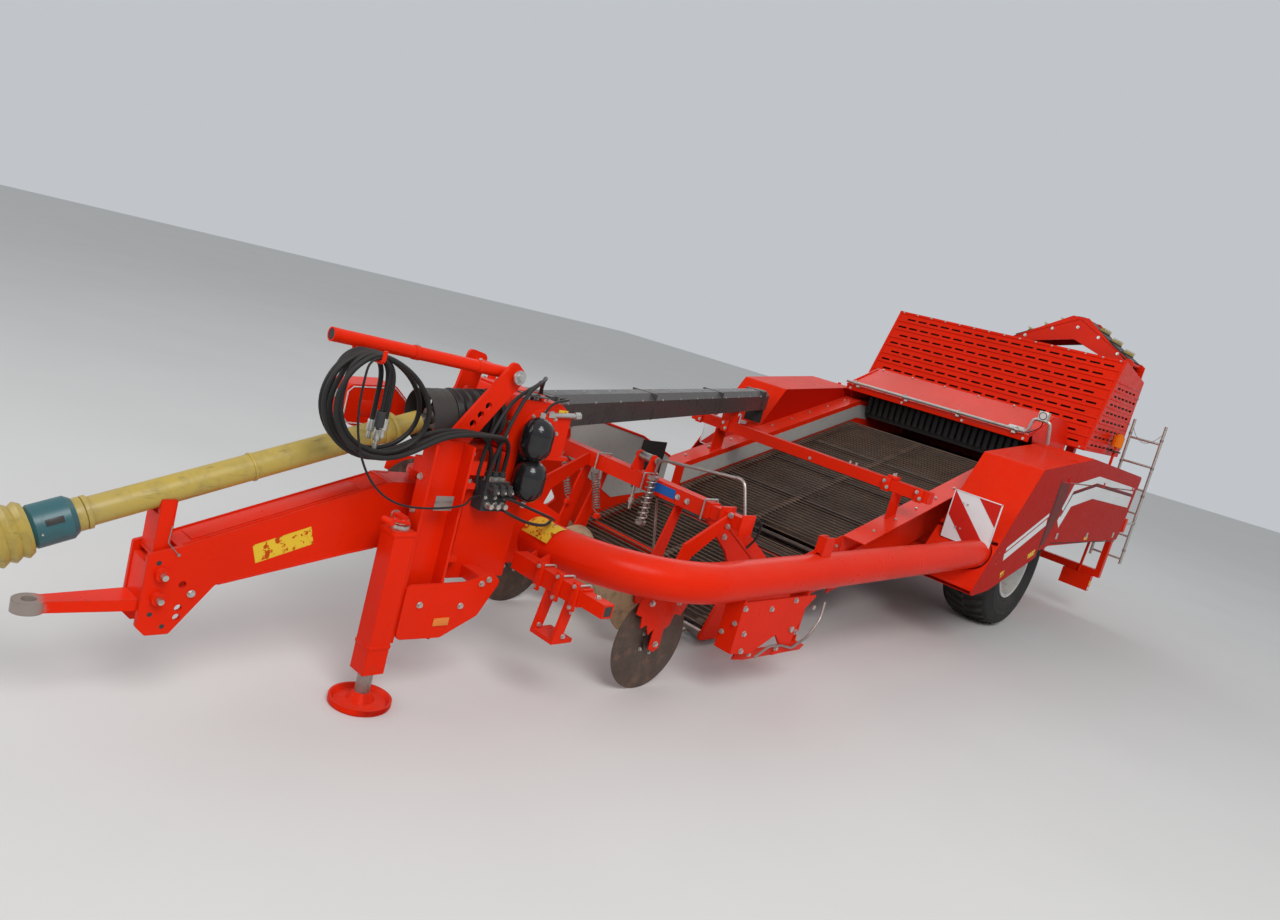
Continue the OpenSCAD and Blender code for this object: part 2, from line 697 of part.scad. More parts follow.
// Two pressure bottles, one over the other, on a plate at the tower's left face
bottle_d = 165;
bottle_l = 60;
bottle_y = tower_y0 - 95;
bottles = [[-3270, 1110], [-3285, 1325]];
module bottle() {
  r = bottle_d / 2;
  rotate_extrude() polygon(concat(arc([0, -bottle_l / 2], r, -90, 0, 12), arc([0, bottle_l / 2], r, 0, 90, 12)));
}
module accumulators() {
  for (b = bottles) {
    color(rubber) translate([b[0], bottle_y, b[1]]) bottle();
    color(steel) block([b[0] - 20, bottle_y, b[1] - 15], [b[0] + 20, tower_y0 - 11, b[1] + 15]);
  }
  color(steel) block([-3300, tower_y0 - 12, 980], [-3240, tower_y0, 1360]);
}

// Valve block with its hose couplers, on the tower's left face
valve_x0 = -3520;
valve_x1 = -3370;
valve_y0 = -930;
valve_z0 = 940;
valve_z1 = 1090;
coupler_d = 34;
coupler_pitch = 45;
module valve_block() {
  color(dark) block([valve_x0, valve_y0, valve_z0], [valve_x1, tower_y0, valve_z1]);
  color(steel) for (i = [0:2]) {
    x = valve_x0 + 30 + i * coupler_pitch;
    bar([x, (valve_y0 + tower_y0) / 2, valve_z1 - 1], [x, (valve_y0 + tower_y0) / 2, valve_z1 + 40], coupler_d);
  }
}

// Hydraulic hoses: each rises from its coupler, hangs twice over the peg and ends in a plug.
// A short straight stub at each end meets the coupler and the plug squarely.
hose_d = 22;
hose_sides = 8;
hose_steps = 2;
stub = 6;
hose_1_route = [[-3490, -890, 1136], [-3494, -891, 1195], [-3515, -894, 1250], [-3555, -897, 1292],
  [-3610, -900, 1315], [-3675, -903, 1322], [-3760, -904, 1322], [-3850, -904, 1312], [-3935, -904, 1280],
  [-4010, -904, 1235], [-4095, -904, 1198], [-4190, -904, 1185], [-4290, -904, 1200], [-4380, -904, 1255],
  [-4440, -904, 1340], [-4455, -904, 1435], [-4425, -904, 1530], [-4365, -904, 1596], [-4290, -903, 1629],
  [-4200, -900, 1615], [-4100, -896, 1575], [-4010, -890, 1505], [-3955, -884, 1415], [-3955, -880, 1320],
  [-4020, -880, 1240], [-4120, -880, 1198], [-4230, -880, 1205], [-4330, -880, 1250], [-4385, -880, 1322],
  [-4404, -880, 1390], [-4405, -880, 1455], [-4399, -880, 1517], [-4384, -880, 1572], [-4345, -880, 1611],
  [-4290, -880, 1626], [-4235, -880, 1611], [-4196, -880, 1572], [-4182, -880, 1517], [-4181, -880, 1455],
  [-4181, -880, 1395], [-4181, -880, 1336]];
hose_2_route = [[-3445, -890, 1136], [-3448, -893, 1195], [-3465, -905, 1252], [-3502, -922, 1294],
  [-3555, -938, 1318], [-3620, -948, 1326], [-3710, -952, 1328], [-3810, -952, 1320], [-3905, -952, 1290],
  [-3990, -952, 1240], [-4080, -952, 1195], [-4180, -952, 1175], [-4285, -952, 1188], [-4385, -952, 1245],
  [-4450, -952, 1335], [-4470, -952, 1435], [-4440, -952, 1535], [-4375, -952, 1600], [-4290, -951, 1629],
  [-4195, -948, 1612], [-4090, -944, 1570], [-3995, -938, 1500], [-3935, -932, 1410], [-3935, -928, 1310],
  [-4005, -928, 1225], [-4110, -928, 1182], [-4225, -928, 1188], [-4335, -928, 1240], [-4402, -928, 1315],
  [-4424, -928, 1390], [-4416, -928, 1458], [-4394, -928, 1517], [-4379, -928, 1572], [-4340, -928, 1611],
  [-4285, -928, 1626], [-4230, -928, 1611], [-4191, -928, 1572], [-4177, -928, 1517], [-4174, -928, 1448],
  [-4173, -928, 1377], [-4173, -928, 1306]];
hose_3_route = [[-3400, -890, 1136], [-3403, -895, 1192], [-3418, -912, 1248], [-3452, -936, 1292],
  [-3502, -960, 1318], [-3565, -982, 1328], [-3640, -996, 1332], [-3735, -1000, 1330],
  [-3835, -1000, 1318], [-3925, -1000, 1285], [-4005, -1000, 1238], [-4090, -1000, 1200],
  [-4185, -1000, 1188], [-4280, -1000, 1205], [-4365, -1000, 1258], [-4425, -1000, 1340],
  [-4440, -1000, 1430], [-4415, -1000, 1522], [-4360, -1000, 1592], [-4290, -999, 1631],
  [-4205, -996, 1612], [-4110, -992, 1572], [-4025, -986, 1505], [-3970, -980, 1420], [-3965, -976, 1325],
  [-4025, -976, 1250], [-4120, -976, 1208], [-4225, -976, 1212], [-4315, -976, 1250], [-4376, -976, 1318],
  [-4402, -976, 1390], [-4404, -976, 1455], [-4399, -976, 1517], [-4384, -976, 1572], [-4345, -976, 1611],
  [-4290, -976, 1626], [-4235, -976, 1611], [-4196, -976, 1572], [-4182, -976, 1517], [-4181, -976, 1465],
  [-4181, -976, 1415], [-4181, -976, 1366]];
// Cords follow their route's points with a gentle curve that has no sharp bend at a point
function eased_point(a, b, c, d, t) =
  (a * pow(1 - t, 3) + b * (3 * pow(t, 3) - 6 * t * t + 4) + c * (3 * t * (1 + t - t * t) + 1) + d * pow(t, 3)) / 6;
function eased(p, n) = let(m = len(p) - 1, q = concat([2 * p[0] - p[1]], p, [2 * p[m] - p[m - 1]])) [
  for (i = [0:m - 1], k = [0:n - 1]) eased_point(q[i], q[i + 1], q[i + 2], q[i + 3], k / n),
  p[m],
];
function hanging_end(route) = route[len(route) - 1] - [0, 0, stub];
module hose(route) {
  path = concat([route[0] - [0, 0, stub]], eased(route, hose_steps), [hanging_end(route)]);
  color(rubber) swept(path, hose_d / 2, hose_sides, [0, 1, 0.05]);
}
module hose_1() {
  hose(hose_1_route);
}
module hose_2() {
  hose(hose_2_route);
}
module hose_3() {
  hose(hose_3_route);
}

// Lamp cable: a thin lead that sags from the valve block and hangs over the peg
cable_d = 10;
cable_steps = 3;
cable_route = [[-3526, -910, 1010], [-3560, -914, 1009], [-3592, -930, 1006], [-3620, -955, 1003],
  [-3650, -985, 1000], [-3690, -1012, 996], [-3740, -1026, 992], [-3800, -1033, 988], [-3870, -1036, 985],
  [-3940, -1037, 985], [-4010, -1037, 990], [-4080, -1036, 1005], [-4145, -1035, 1035],
  [-4205, -1033, 1080], [-4255, -1031, 1140], [-4295, -1029, 1210], [-4325, -1027, 1290],
  [-4342, -1025, 1370], [-4347, -1023, 1440], [-4347, -1022, 1505], [-4345, -1020, 1563],
  [-4338, -1020, 1590], [-4318, -1020, 1611], [-4290, -1020, 1618], [-4262, -1020, 1611],
  [-4242, -1020, 1590], [-4235, -1020, 1563], [-4235, -1020, 1510], [-4235, -1020, 1457],
  [-4235, -1020, 1406]];
module cable_1() {
  path = concat([cable_route[0] + [stub, 0, 0]], eased(cable_route, cable_steps), [hanging_end(cable_route)]);
  color(rubber) swept(path, cable_d / 2, hose_sides, [0, 1, 0.05]);
}

// Plugs on the hoses' and the cable's hanging ends
plug_l = 85;
plug_d = 34;
cable_plug_d = 40;
module hose_plugs() {
  color(steel) for (r = [hose_1_route, hose_2_route, hose_3_route]) {
    translate(hanging_end(r) - [0, 0, plug_l]) cylinder(d = hose_d, h = plug_l - 50);
    translate(hanging_end(r) - [0, 0, 51]) cylinder(d = plug_d, h = 51);
  }
  color(rubber) translate(hanging_end(cable_route) - [0, 0, plug_l - 15]) cylinder(d = cable_plug_d, h = plug_l - 15);
}

// Tool case on a shelf in front of the head's right side
module tool_case() {
  outline = rounded([[-4080, 1210], [-3750, 1210], [-3750, 1350], [-3830, 1415], [-4080, 1395]], 30);
  color(paint) side_plate(outline, -480, -310);
  color(paint) block([-4000, -440, tower_z1 - 10], [tower_x0, -350, 1210]);
}

// Lower bracket beside the head: a curved plate below the jack's channel and its tie to the tower
module lower_bracket() {
  outline = rounded([[-3890, 600], [-3890, 330], [-3640, 320], [-3440, 420], [-3340, 600], [-3400, 640],
    [-3560, 600]], 30);
  color(paint) {
    side_plate(outline, channel_y0 - 14, channel_y0);
    block([-3480, channel_y0 - 1, 570], [-3400, tower_y0, 630]);
  }
}

// Jack: a square outer tube clamped to the channel, with a guide ring at its foot and a crank on top
jack_x = -3966;
jack_y = -950;
jack_z0 = 165;
jack_z1 = 860;
jack_t = 8;
module jack_tube() {
  h = jack_side / 2;
  color(paint) {
    difference() {
      block([jack_x - h, jack_y - h, jack_z0], [jack_x + h, jack_y + h, jack_z1]);
      block([jack_x - h + jack_t, jack_y - h + jack_t, jack_z0 + 20],
        [jack_x + h - jack_t, jack_y + h - jack_t, jack_z1 - 12]);
      translate([jack_x, jack_y, jack_z0 - 1]) cylinder(d = leg_d + 2 * fit, h = 40);
    }
    for (z = [420, 700]) {
      block([jack_x + h - 1, jack_y - 40, z], [channel_x0, jack_y + 40, z + 60]);
    }
  }
  color(steel) {
    translate([jack_x, jack_y, jack_z1 - 1]) cylinder(d = 60, h = 50);
    block([jack_x - 20, jack_y - 20, jack_z1 + 30], [jack_x + 20, jack_y + 50, jack_z1 + 60]);
    swept(softened([[jack_x, jack_y, jack_z1 + 45], [jack_x, jack_y - 70, jack_z1 + 45],
      [jack_x - 150, jack_y - 70, jack_z1 + 75], [jack_x - 150, jack_y - 100, jack_z1 + 75]], 14, 2), 8, 8, [0.3, 0.2, 1]);
    bar([jack_x - 150, jack_y - 80, jack_z1 + 75], [jack_x - 150, jack_y - 150, jack_z1 + 75], 26);
  }
}

// Jack's leg, with its guide and its dished foot
foot_t = 22;
leg_top = 620;
module jack_leg() {
  h = jack_side / 2 - jack_t - 0.5;
  outline = [[0, 0], [foot_d / 2 - 6, 0], [foot_d / 2, 8], [foot_d / 2, foot_t + 10], [foot_d / 2 - 12, foot_t + 10],
    [foot_d / 2 - 26, foot_t - 8], [leg_d / 2 + 30, foot_t], [leg_d / 2 + 4, foot_t + 40], [0, foot_t + 40]];
  color(side_paint) translate([jack_x, jack_y, 0]) rotate_extrude() polygon(outline);
  color(steel) {
    translate([jack_x, jack_y, foot_t]) cylinder(d = leg_d, h = leg_top - foot_t);
    block([jack_x - h, jack_y - h, leg_top - 40], [jack_x + h, jack_y + h, leg_top]);
  }
}

// Front tool bar: a square tube under the main tube, with a sliding inner bar, a leg and a tool arm
bar_side = 90;
bar_x = tube_front_x - tube_d / 2 - bar_side / 2 - 16;
bar_z = 660;
module toolbar() {
  h = bar_side / 2;
  color(paint) {
    block([bar_x - h, -1400, bar_z - h], [bar_x + h, -880, bar_z + h]);
    block([bar_x - h + 10, -1560, bar_z - h + 10], [bar_x + h - 10, -1399, bar_z + h - 10]);
    // Legs with their foot
    for (y = [-1330, -1180]) {
      side_plate([[bar_x - h, bar_z - h + 1], [bar_x + 25, bar_z - h + 1], [bar_x - 20, 400], [bar_x - 80, 400]], y, y + 16);
    }
    block([bar_x - 80, -1330, 390], [bar_x + 60, -1164, 412]);
    // Clamp to the main tube
    for (y = [-1000, -920]) {
      difference() {
        side_plate([[bar_x + h - 1, bar_z - h], [tube_front_x, bar_z - h - 40], [tube_front_x, bar_z + 120],
          [bar_x + h - 1, bar_z + h]], y, y + 14);
        tube_shape(gap);
      }
    }
  }
}

// The main tube's own shape, grown by g, for what is cut to seat round it
module tube_shape(g) {
  d = tube_d + 2 * g;
  translate([bend_x, bend_y, tube_z]) rotate([0, 0, 180]) rotate_extrude(angle = 90) translate([bend_r, 0]) circle(d = d);
  bar([tube_front_x, bend_y - 1, tube_z], [tube_front_x, tube_head_y, tube_z], d);
  bar([bend_x, -tube_y, tube_z], tube_foot, d);
}

// Brackets on the main tube's long run: a hanging tool carrier below and a post on top
carrier_x = [-2000, -1320];
post_at = -1250;
module tube_brackets() {
  y0 = -tube_y - 60;
  y1 = -tube_y + 60;
  low = 260;
  color(paint) difference() {
    union() {
      for (x = carrier_x) {
        block([x, y0, low + 60], [x + 16, y1, tube_z]);
      }
      side_plate(rounded([[carrier_x[0] + 8, low + 60], [-1800, low + 40], [-1560, low + 140], [-1480, low + 60],
        [-1560, low], [-1300, low + 20], [-1280, low + 80], [-1360, low + 60], [-1300, 560],
        [-1200, 640], [carrier_x[0] + 8, 640]], 8), y0, y0 + 14);
      // Post over the tube
      side_plate([[post_at, tube_z], [post_at + 120, tube_z], [post_at + 110, 1010], [post_at + 10, 1010]], y1 - 40, y1 - 26);
      side_plate([[post_at, tube_z], [post_at + 120, tube_z], [post_at + 110, 1010], [post_at + 10, 1010]], y0 + 30, y0 + 44);
      block([post_at + 10, y0 + 43, 900], [post_at + 24, y1 - 39, 1010]);
    }
    tube_shape(gap);
  }
}

// Cross beam over the channel, on a bracket at each side wall
cross_beam_x = 710;
cross_beam_z = 1170;
cross_beam_side = 96;
module cross_beam() {
  x1 = cross_beam_x + cross_beam_side;
  y0 = channel_half + wall_t;
  color(paint) {
    block([cross_beam_x, -1240, cross_beam_z], [x1, 1300, cross_beam_z + cross_beam_side]);
    both_sides() {
      side_plate([[cross_beam_x - 30, wall_top(cross_beam_x - 30) + fit], [x1 + 30, wall_top(x1 + 30) + fit],
        [x1 + 30, cross_beam_z + 1], [cross_beam_x - 30, cross_beam_z + 1]], y0 + 40, y0 + 52);
    }
    // Saddle under the line guard
    y = line_start[1] + (cross_beam_x + 48 - line_start[0]) * line_v[1] / line_v[0];
    z = line_start[2] + (cross_beam_x + 48 - line_start[0]) * line_v[2] / line_v[0] - line_h / 2;
    block([cross_beam_x + 20, y - 70, cross_beam_z + cross_beam_side - 1], [x1 - 20, y + 70, z - 4]);
  }
}

// Covers: outline of the left cover in X and Z, counter-clockwise seen from the left
roof = [[1100, 520], [1500, 560], [2340, 810], [2660, 940], [4940, 980], [5050, 1720], [3180, 1820], [1880, 1650]];
door_x0 = 2424;
door_x1 = 5000;
door_top = 1560;
module cover_cut(grow) {
  // Opening for the door in the outer sheet
  block([door_x0 - grow, -cover_y - 1, 700], [5200, -cover_y + cover_t + 1, door_top + grow]);
}
// Places along the machine of the doors' hinges, and their knuckles and pins
hinge_at = [2600, 3700, 4800];
knuckle_l = 40;
knuckle_d = 11;
hinge_pin_d = 6;
module along_hinge(x, length, d) {
  bar([x, -cover_y, door_top], [x + length, -cover_y, door_top], d);
}
module door_hinges() {
  color(side_paint) for (x = hinge_at) {
    along_hinge(x, knuckle_l, knuckle_d);
    along_hinge(x - knuckle_l - 1, 3 * knuckle_l + 2, hinge_pin_d);
    block([x, -cover_y - knuckle_d / 2, door_top], [x + knuckle_l, -cover_y + 2, door_top + 46]);
  }
}
module cowl(outline) {
  shell = rounded(outline, 40);
  hollow = inset(outline, cover_t);
  arch = inset(outline, 60);
  color(side_paint) difference() {
    side_plate(shell, -cover_y, -inner_y);
    side_plate(hollow, -cover_y + cover_t, -inner_y - cover_t);
    cover_cut(door_gap);
    // Open below: the wheel's arch and the space round the frame
    block([seat_x0 - 30, -cover_y + cover_t, 300], [6000, -inner_y + 1, 1000]);
    side_plate([[seat_x0 - 60, 300], [6000, 300], [6000, wall_top(level_x) - 10], [level_x, wall_top(level_x) - 10],
      [seat_x0 - 60, wall_top(seat_x0 - 60) - 10]], -inner_y - cover_t - 1, -inner_y + 1);
    // Way in for the main tube
    bar([900, -tube_y, tube_z + (900 - bend_x) * tan(tube_rise)], [seat_x0, -tube_y, tube_end_z], tube_d + 30);
    block([1400, -cover_y + cover_t, 300], [seat_x1 + 20, -inner_y + 1, tube_end_z + 130]);
  }
}
module cowl_left() {
  cowl(roof);
  door_hinges();
}
module cowl_right() {
  mirror([0, 1, 0]) {
    cowl(roof);
    door_hinges();
  }
}

// Doors: the covers' outer sheets behind the seam, hinged along their top edges
// on knuckles round pins that the covers carry
module door() {
  outline = rounded([[door_x0, 900], [2660, 945], [4900, 985], [4960, 1100], [door_x1, door_top], [door_x0, door_top]], 14);
  color(side_paint) difference() {
    union() {
      side_plate(outline, -cover_y, -cover_y + cover_t);
      // Folded lower edge
      side_plate([[2700, 950], [4860, 988], [4860, 998], [2700, 960]], -cover_y + cover_t - 1, -cover_y + 50);
      for (x = hinge_at, s = [-knuckle_l - 1, knuckle_l + 1]) {
        along_hinge(x + s, knuckle_l, knuckle_d);
      }
    }
    for (x = hinge_at) {
      along_hinge(x - 0.5, knuckle_l + 1, knuckle_d + 2 * gap);
      along_hinge(x - 2 * knuckle_l, 5 * knuckle_l, hinge_pin_d + 2 * fit);
    }
  }
}
module door_left() {
  door();
}
module door_right() {
  mirror([0, 1, 0]) door();
}

// Hood over the channel's end: a bent sheet with end plates that stand on the walls' lips
hood_x0 = 2960;
hood_half = 1060;
hood_t = 6;
hood_line = [[2960, 1860], [3560, 2110], [3900, 2100], [4080, 1900]];
module hood() {
  z = wall_top(level_x);
  color(paint) {
    for (i = [0:2]) {
      p = hood_line[i];
      q = hood_line[i + 1];
      side_plate([p, q, q + [0, -hood_t / cos(20)], p + [0, -hood_t / cos(20)]], -hood_half, hood_half);
    }
    both_sides() {
      side_plate([[level_x + 60, z], [4080, z], hood_line[3] + [0, -1], hood_line[2] + [0, -1],
        hood_line[1] + [0, -1], hood_line[0] + [60, 18]], hood_half - hood_t, hood_half);
    }
  }
}

// Rail along the hood's front edge, with the loop of its gauge at the left end
rail_d = 34;
rail_x = 2920;
rail_z = 1890;
module hood_rail() {
  color(zinc) {
    swept(softened([[rail_x, 1040, rail_z], [rail_x, -1030, rail_z], [rail_x - 10, -1060, rail_z + 150],
      [rail_x - 10, -1220, rail_z + 150], [rail_x + 50, -1240, rail_z - 60]], 40, 3), rail_d / 2, 10, [1, 0.4, 0.3]);
    for (y = [-900, -300, 300, 900]) {
      block([rail_x + 10, y - 20, rail_z - 40], [hood_x0, y + 20, rail_z - 5]);
    }
    block([rail_x - 40, -1190, rail_z + 150], [rail_x + 20, -1100, rail_z + 240]);
  }
}

// Curtain of rubber fingers under the hood, on a cross bar between the hood's end plates
finger_w = 44;
finger_gap = 30;
module finger_curtain() {
  x = 3220;
  z = 1830;
  half = hood_half - hood_t;
  color(dark) bar_y(x, -half, half, z, 50);
  color(rubber) for (y = [-channel_half + 20:finger_w + finger_gap:channel_half - finger_w]) {
    block([x - 4, y, 1600], [x + 4, y + finger_w, z - 10]);
  }
}

// Warning boards before the covers' sloping front faces, the left one cut out round the main tube
board_side = 423;
board_t = 12;
board_x = 1334;
board_z = 880;
board_y = 1600;
function front_face(z) = roof[0][0] + (z - roof[0][1]) * (roof[7][0] - roof[0][0]) / (roof[7][1] - roof[0][1]);
module warning_boards() {
  color("white") difference() {
    both_sides() {
      block([board_x, -board_y, board_z], [board_x + board_t, -board_y + board_side, board_z + board_side]);
      for (z = [board_z + 100, board_z + board_side - 110]) {
        side_plate([[board_x + board_t - 1, z], [front_face(z) - fit, z], [front_face(z + 30) - fit, z + 30],
          [board_x + board_t - 1, z + 30]], -1340, -1260);
      }
    }
    tube_shape(gap);
  }
}

// Lamps: a rear light box on each side behind the wheels, and the beacon on its stalk
beacon = [4900, -1325, 1965];
function roof_z(x) = roof[5][1] + (x - roof[5][0]) * (roof[6][1] - roof[5][1]) / (roof[6][0] - roof[5][0]);
module lamps() {
  color(side_paint) both_sides() {
    block([rear_x - 60, -1500, 300], [rear_x + 20, -1180, bumper_z0]);
  }
  color("orange") translate(beacon) {
    cylinder(d = 120, h = 120);
    translate([0, 0, 119]) cylinder(d = 80, h = 30);
  }
  color(dark) {
    bar([beacon[0], beacon[1], roof_z(beacon[0]) + 8], beacon + [0, 0, 1], 30);
    side_plate([for (c = [[-40, 0], [40, 0], [40, 14], [-40, 14]]) [beacon[0] + c[0], roof_z(beacon[0] + c[0]) + c[1] + fit]],
      beacon[1] - 30, beacon[1] + 30);
  }
}

// Ladder at the left rear, on stand-offs from the rear cross members
module ladder() {
  y = [-1610, -1270];
  x0 = 5600;
  x1 = 5470;
  z0 = 660;
  z1 = 2330;
  color(zinc) {
    for (s = y) {
      bar([x0, s, z0], [x1, s, z1], 34);
    }
    for (z = [z0 + 60:280:z1 - 40]) {
      x = x0 + (x1 - x0) * (z - z0) / (z1 - z0);
      bar_y(x, y[0], y[1], z, 28);
    }
    stand_z = beam_top(level_x) - 60;
    for (s = y) {
      bar([rear_x + 80, s, stand_z], [x0 + (x1 - x0) * (stand_z - z0) / (z1 - z0), s, stand_z], 26);
    }
  }
}

// Drawbar: two side plates with a top and a bottom plate, the strut under the power shaft, and
// the knuckle that turns on the head's pin
draw_top = [[-4840, 718], [-3940, 1025]];
draw_low = [[-4670, 553], [-4090, 680], [-3960, 704]];
nose_x = -4950;
bolt_d = 30;
bolt_z = [510, 610];
bolt_x = -4890;
strut_x = -4900;
knuckle_z0 = clevis_z0 + 5;
knuckle_z1 = clevis_z1 - 5;
knuckle_r = 85;
draw_outline = [[nose_x, 690], [nose_x, 390], [-4910, 350], [-4820, 350], draw_low[0], draw_low[1],
  draw_low[2], [-3860, 704], [-3860, 1025], draw_top[1], draw_top[0]];
module drawbar() {
  y0 = draw_y - draw_w / 2;
  y1 = draw_y + draw_w / 2;
  color(paint) difference() {
    union() {
      side_plate(rounded(draw_outline, 12), y0, y0 + draw_t);
      side_plate(rounded(draw_outline, 12), y1 - draw_t, y1);
      side_plate([draw_top[0], draw_top[1], draw_top[1] - [0, 16], draw_top[0] - [0, 16]], y0 + 1, y1 - 1);
      side_plate([draw_low[0], draw_low[1], draw_low[1] + [0, 16], draw_low[0] + [0, 16]], y0 + 1, y1 - 1);
      level_plate([[-3960, y0 + 1], [-3860, y0 + 1], [pivot_x, draw_y - knuckle_r + 1], [pivot_x, draw_y + knuckle_r - 1],
        [-3860, y1 - 1], [-3960, y1 - 1]], 706, 1023);
      translate([pivot_x, draw_y, knuckle_z0]) cylinder(r = knuckle_r, h = knuckle_z1 - knuckle_z0);
      // Strut with the cradle for the power shaft
      for (y = [draw_y - 60, draw_y + 44]) {
        block([strut_x - 25, y, 680], [strut_x + 30, y + 16, 905]);
      }
      block([strut_x - 25, draw_y - 59, 690], [strut_x - 10, draw_y + 59, 840]);
      block([strut_x - 25, y0 + 1, 672], [draw_top[0][0] + 40, y1 - 1, 688]);
    }
    translate([pivot_x, draw_y, clevis_z0]) cylinder(d = pivot_d + 2 * fit, h = 400);
    for (z = bolt_z) {
      bar_y(bolt_x, y0 - 1, y1 + 1, z, bolt_d + 2 * gap);
    }
    for (z = [420, 460, 560]) {
      bar_y(bolt_x + 90, y0 - 1, y1 + 1, z, bolt_d);
    }
    on_shaft() translate([-2500, 0, 0]) rotate([0, 90, 0]) cylinder(d = guard_d + 2 * gap, h = 2500);
  }
}

// Tow eye: a forged ring and a shank that widens back into a block between the nose plates,
// with the two bolts through both
eye_x = -5300;
module tow_eye() {
  w = draw_w / 2 - draw_t - gap;
  zl = eye_z - eye_t / 2;
  color(steel) {
    difference() {
      union() {
        translate([eye_x, draw_y, zl]) cylinder(d = eye_ring, h = eye_t);
        level_plate([[eye_x + 20, draw_y - 34], [nose_x - 60, draw_y - 60], [nose_x + 30, draw_y - w],
          [nose_x + 30, draw_y + w], [nose_x - 60, draw_y + 60], [eye_x + 20, draw_y + 34]], zl, zl + eye_t);
        side_plate([[nose_x + 5, zl], [-4820, zl], [-4820, 650], [nose_x + 5, 650]], draw_y - w, draw_y + w);
      }
      translate([eye_x, draw_y, zl - 1]) cylinder(d = eye_bore, h = eye_t + 2);
    }
    for (z = bolt_z) {
      bar_y(bolt_x, draw_y - draw_w / 2 - 24, draw_y + draw_w / 2 + 24, z, bolt_d);
      for (y = [draw_y - draw_w / 2 - 22, draw_y + draw_w / 2]) {
        bar_y(bolt_x, y, y + 22, z, bolt_d + 24);
      }
    }
  }
}

// Power shaft, in a frame whose X runs back along the shaft from its rear joint
module on_shaft() {
  translate([pivot_x, draw_y, shaft_z]) rotate([0, -pto_tilt, 0]) children();
}
collar_s = [320 - pto_l, 470 - pto_l];
bellows_s = 110 - pto_l;
shaft_d = 60;
guard_s = -250;
cup_s = -6;
module pto_guard() {
  bore = shaft_d / 2 + fit;
  ribs = 5;
  step = (collar_s[0] - bellows_s) / ribs;
  rings = [for (i = [0:ribs - 1], e = [[0.05, 12], [0.5, 0], [0.95, 12]])
    [guard_d / 2 + 50 + 22 * i / ribs - e[1], -collar_s[0] + (i + e[0]) * step]];
  color(guard_yellow) on_shaft() rotate([0, -90, 0]) {
    rotate_extrude() polygon([[bore, -guard_s], [guard_d / 2, -guard_s], [guard_d / 2, -collar_s[1] - 30],
      [guard_d / 2 + 8, -collar_s[1] - 28], [guard_d / 2 + 8, -collar_s[1]], [bore, -collar_s[1]]]);
    rotate_extrude() polygon(concat([[guard_d / 2 + 20, -collar_s[0]]], rings,
      [[guard_d / 2 + 64, -bellows_s], [guard_d / 2 + 52, -bellows_s], [guard_d / 2 + 2, -collar_s[0]]]));
  }
}
module pto_collar() {
  r0 = guard_d / 2 + 12;
  bore = shaft_d / 2 + fit;
  color("teal") on_shaft() rotate([0, -90, 0]) rotate_extrude() polygon([[bore, -collar_s[1]], [r0, -collar_s[1]],
    [r0 + 14, -collar_s[1] + 20], [r0 + 14, -collar_s[0] - 14], [r0 + 4, -collar_s[0]], [bore, -collar_s[0]]]);
}

// The shaft itself: a cup on the rear ball, the shaft through its guard and the yoke at the front
module pto_yoke() {
  color(steel) on_shaft() rotate([0, -90, 0]) difference() {
    union() {
      translate([0, 0, -cup_s]) cylinder(d = ball_d + 20, h = 60);
      translate([0, 0, 50]) cylinder(d = shaft_d, h = pto_l - 100);
      translate([0, 0, pto_l - 110]) cylinder(d = 92, h = 110);
      translate([0, 0, pto_l - 170]) cylinder(d = 110, h = 50);
    }
    sphere(d = ball_d + 2 * gap);
    translate([0, 0, pto_l - 90]) cylinder(d = spline_d, h = 91);
  }
}

// Intake: it swings about a cross shaft under the webs' joint
lift_x = 100;
lift_z = web_z(lift_x) - 150;
lift_d = 50;
arm_y0 = channel_half + 30;
intake_t = 20;
front_x = -1250;
front_run = 1290;
front_lift = 30;
tube_x = -1820;
cross_z0 = 960;
disc_x = -2355;
disc_z = disc_d / 2;
disc_pin = 40;
disc_arm_y = 30;
tie_x = -760;
ridge_x = -1950;
ridge_z = 330;
ridge_pin = 40;
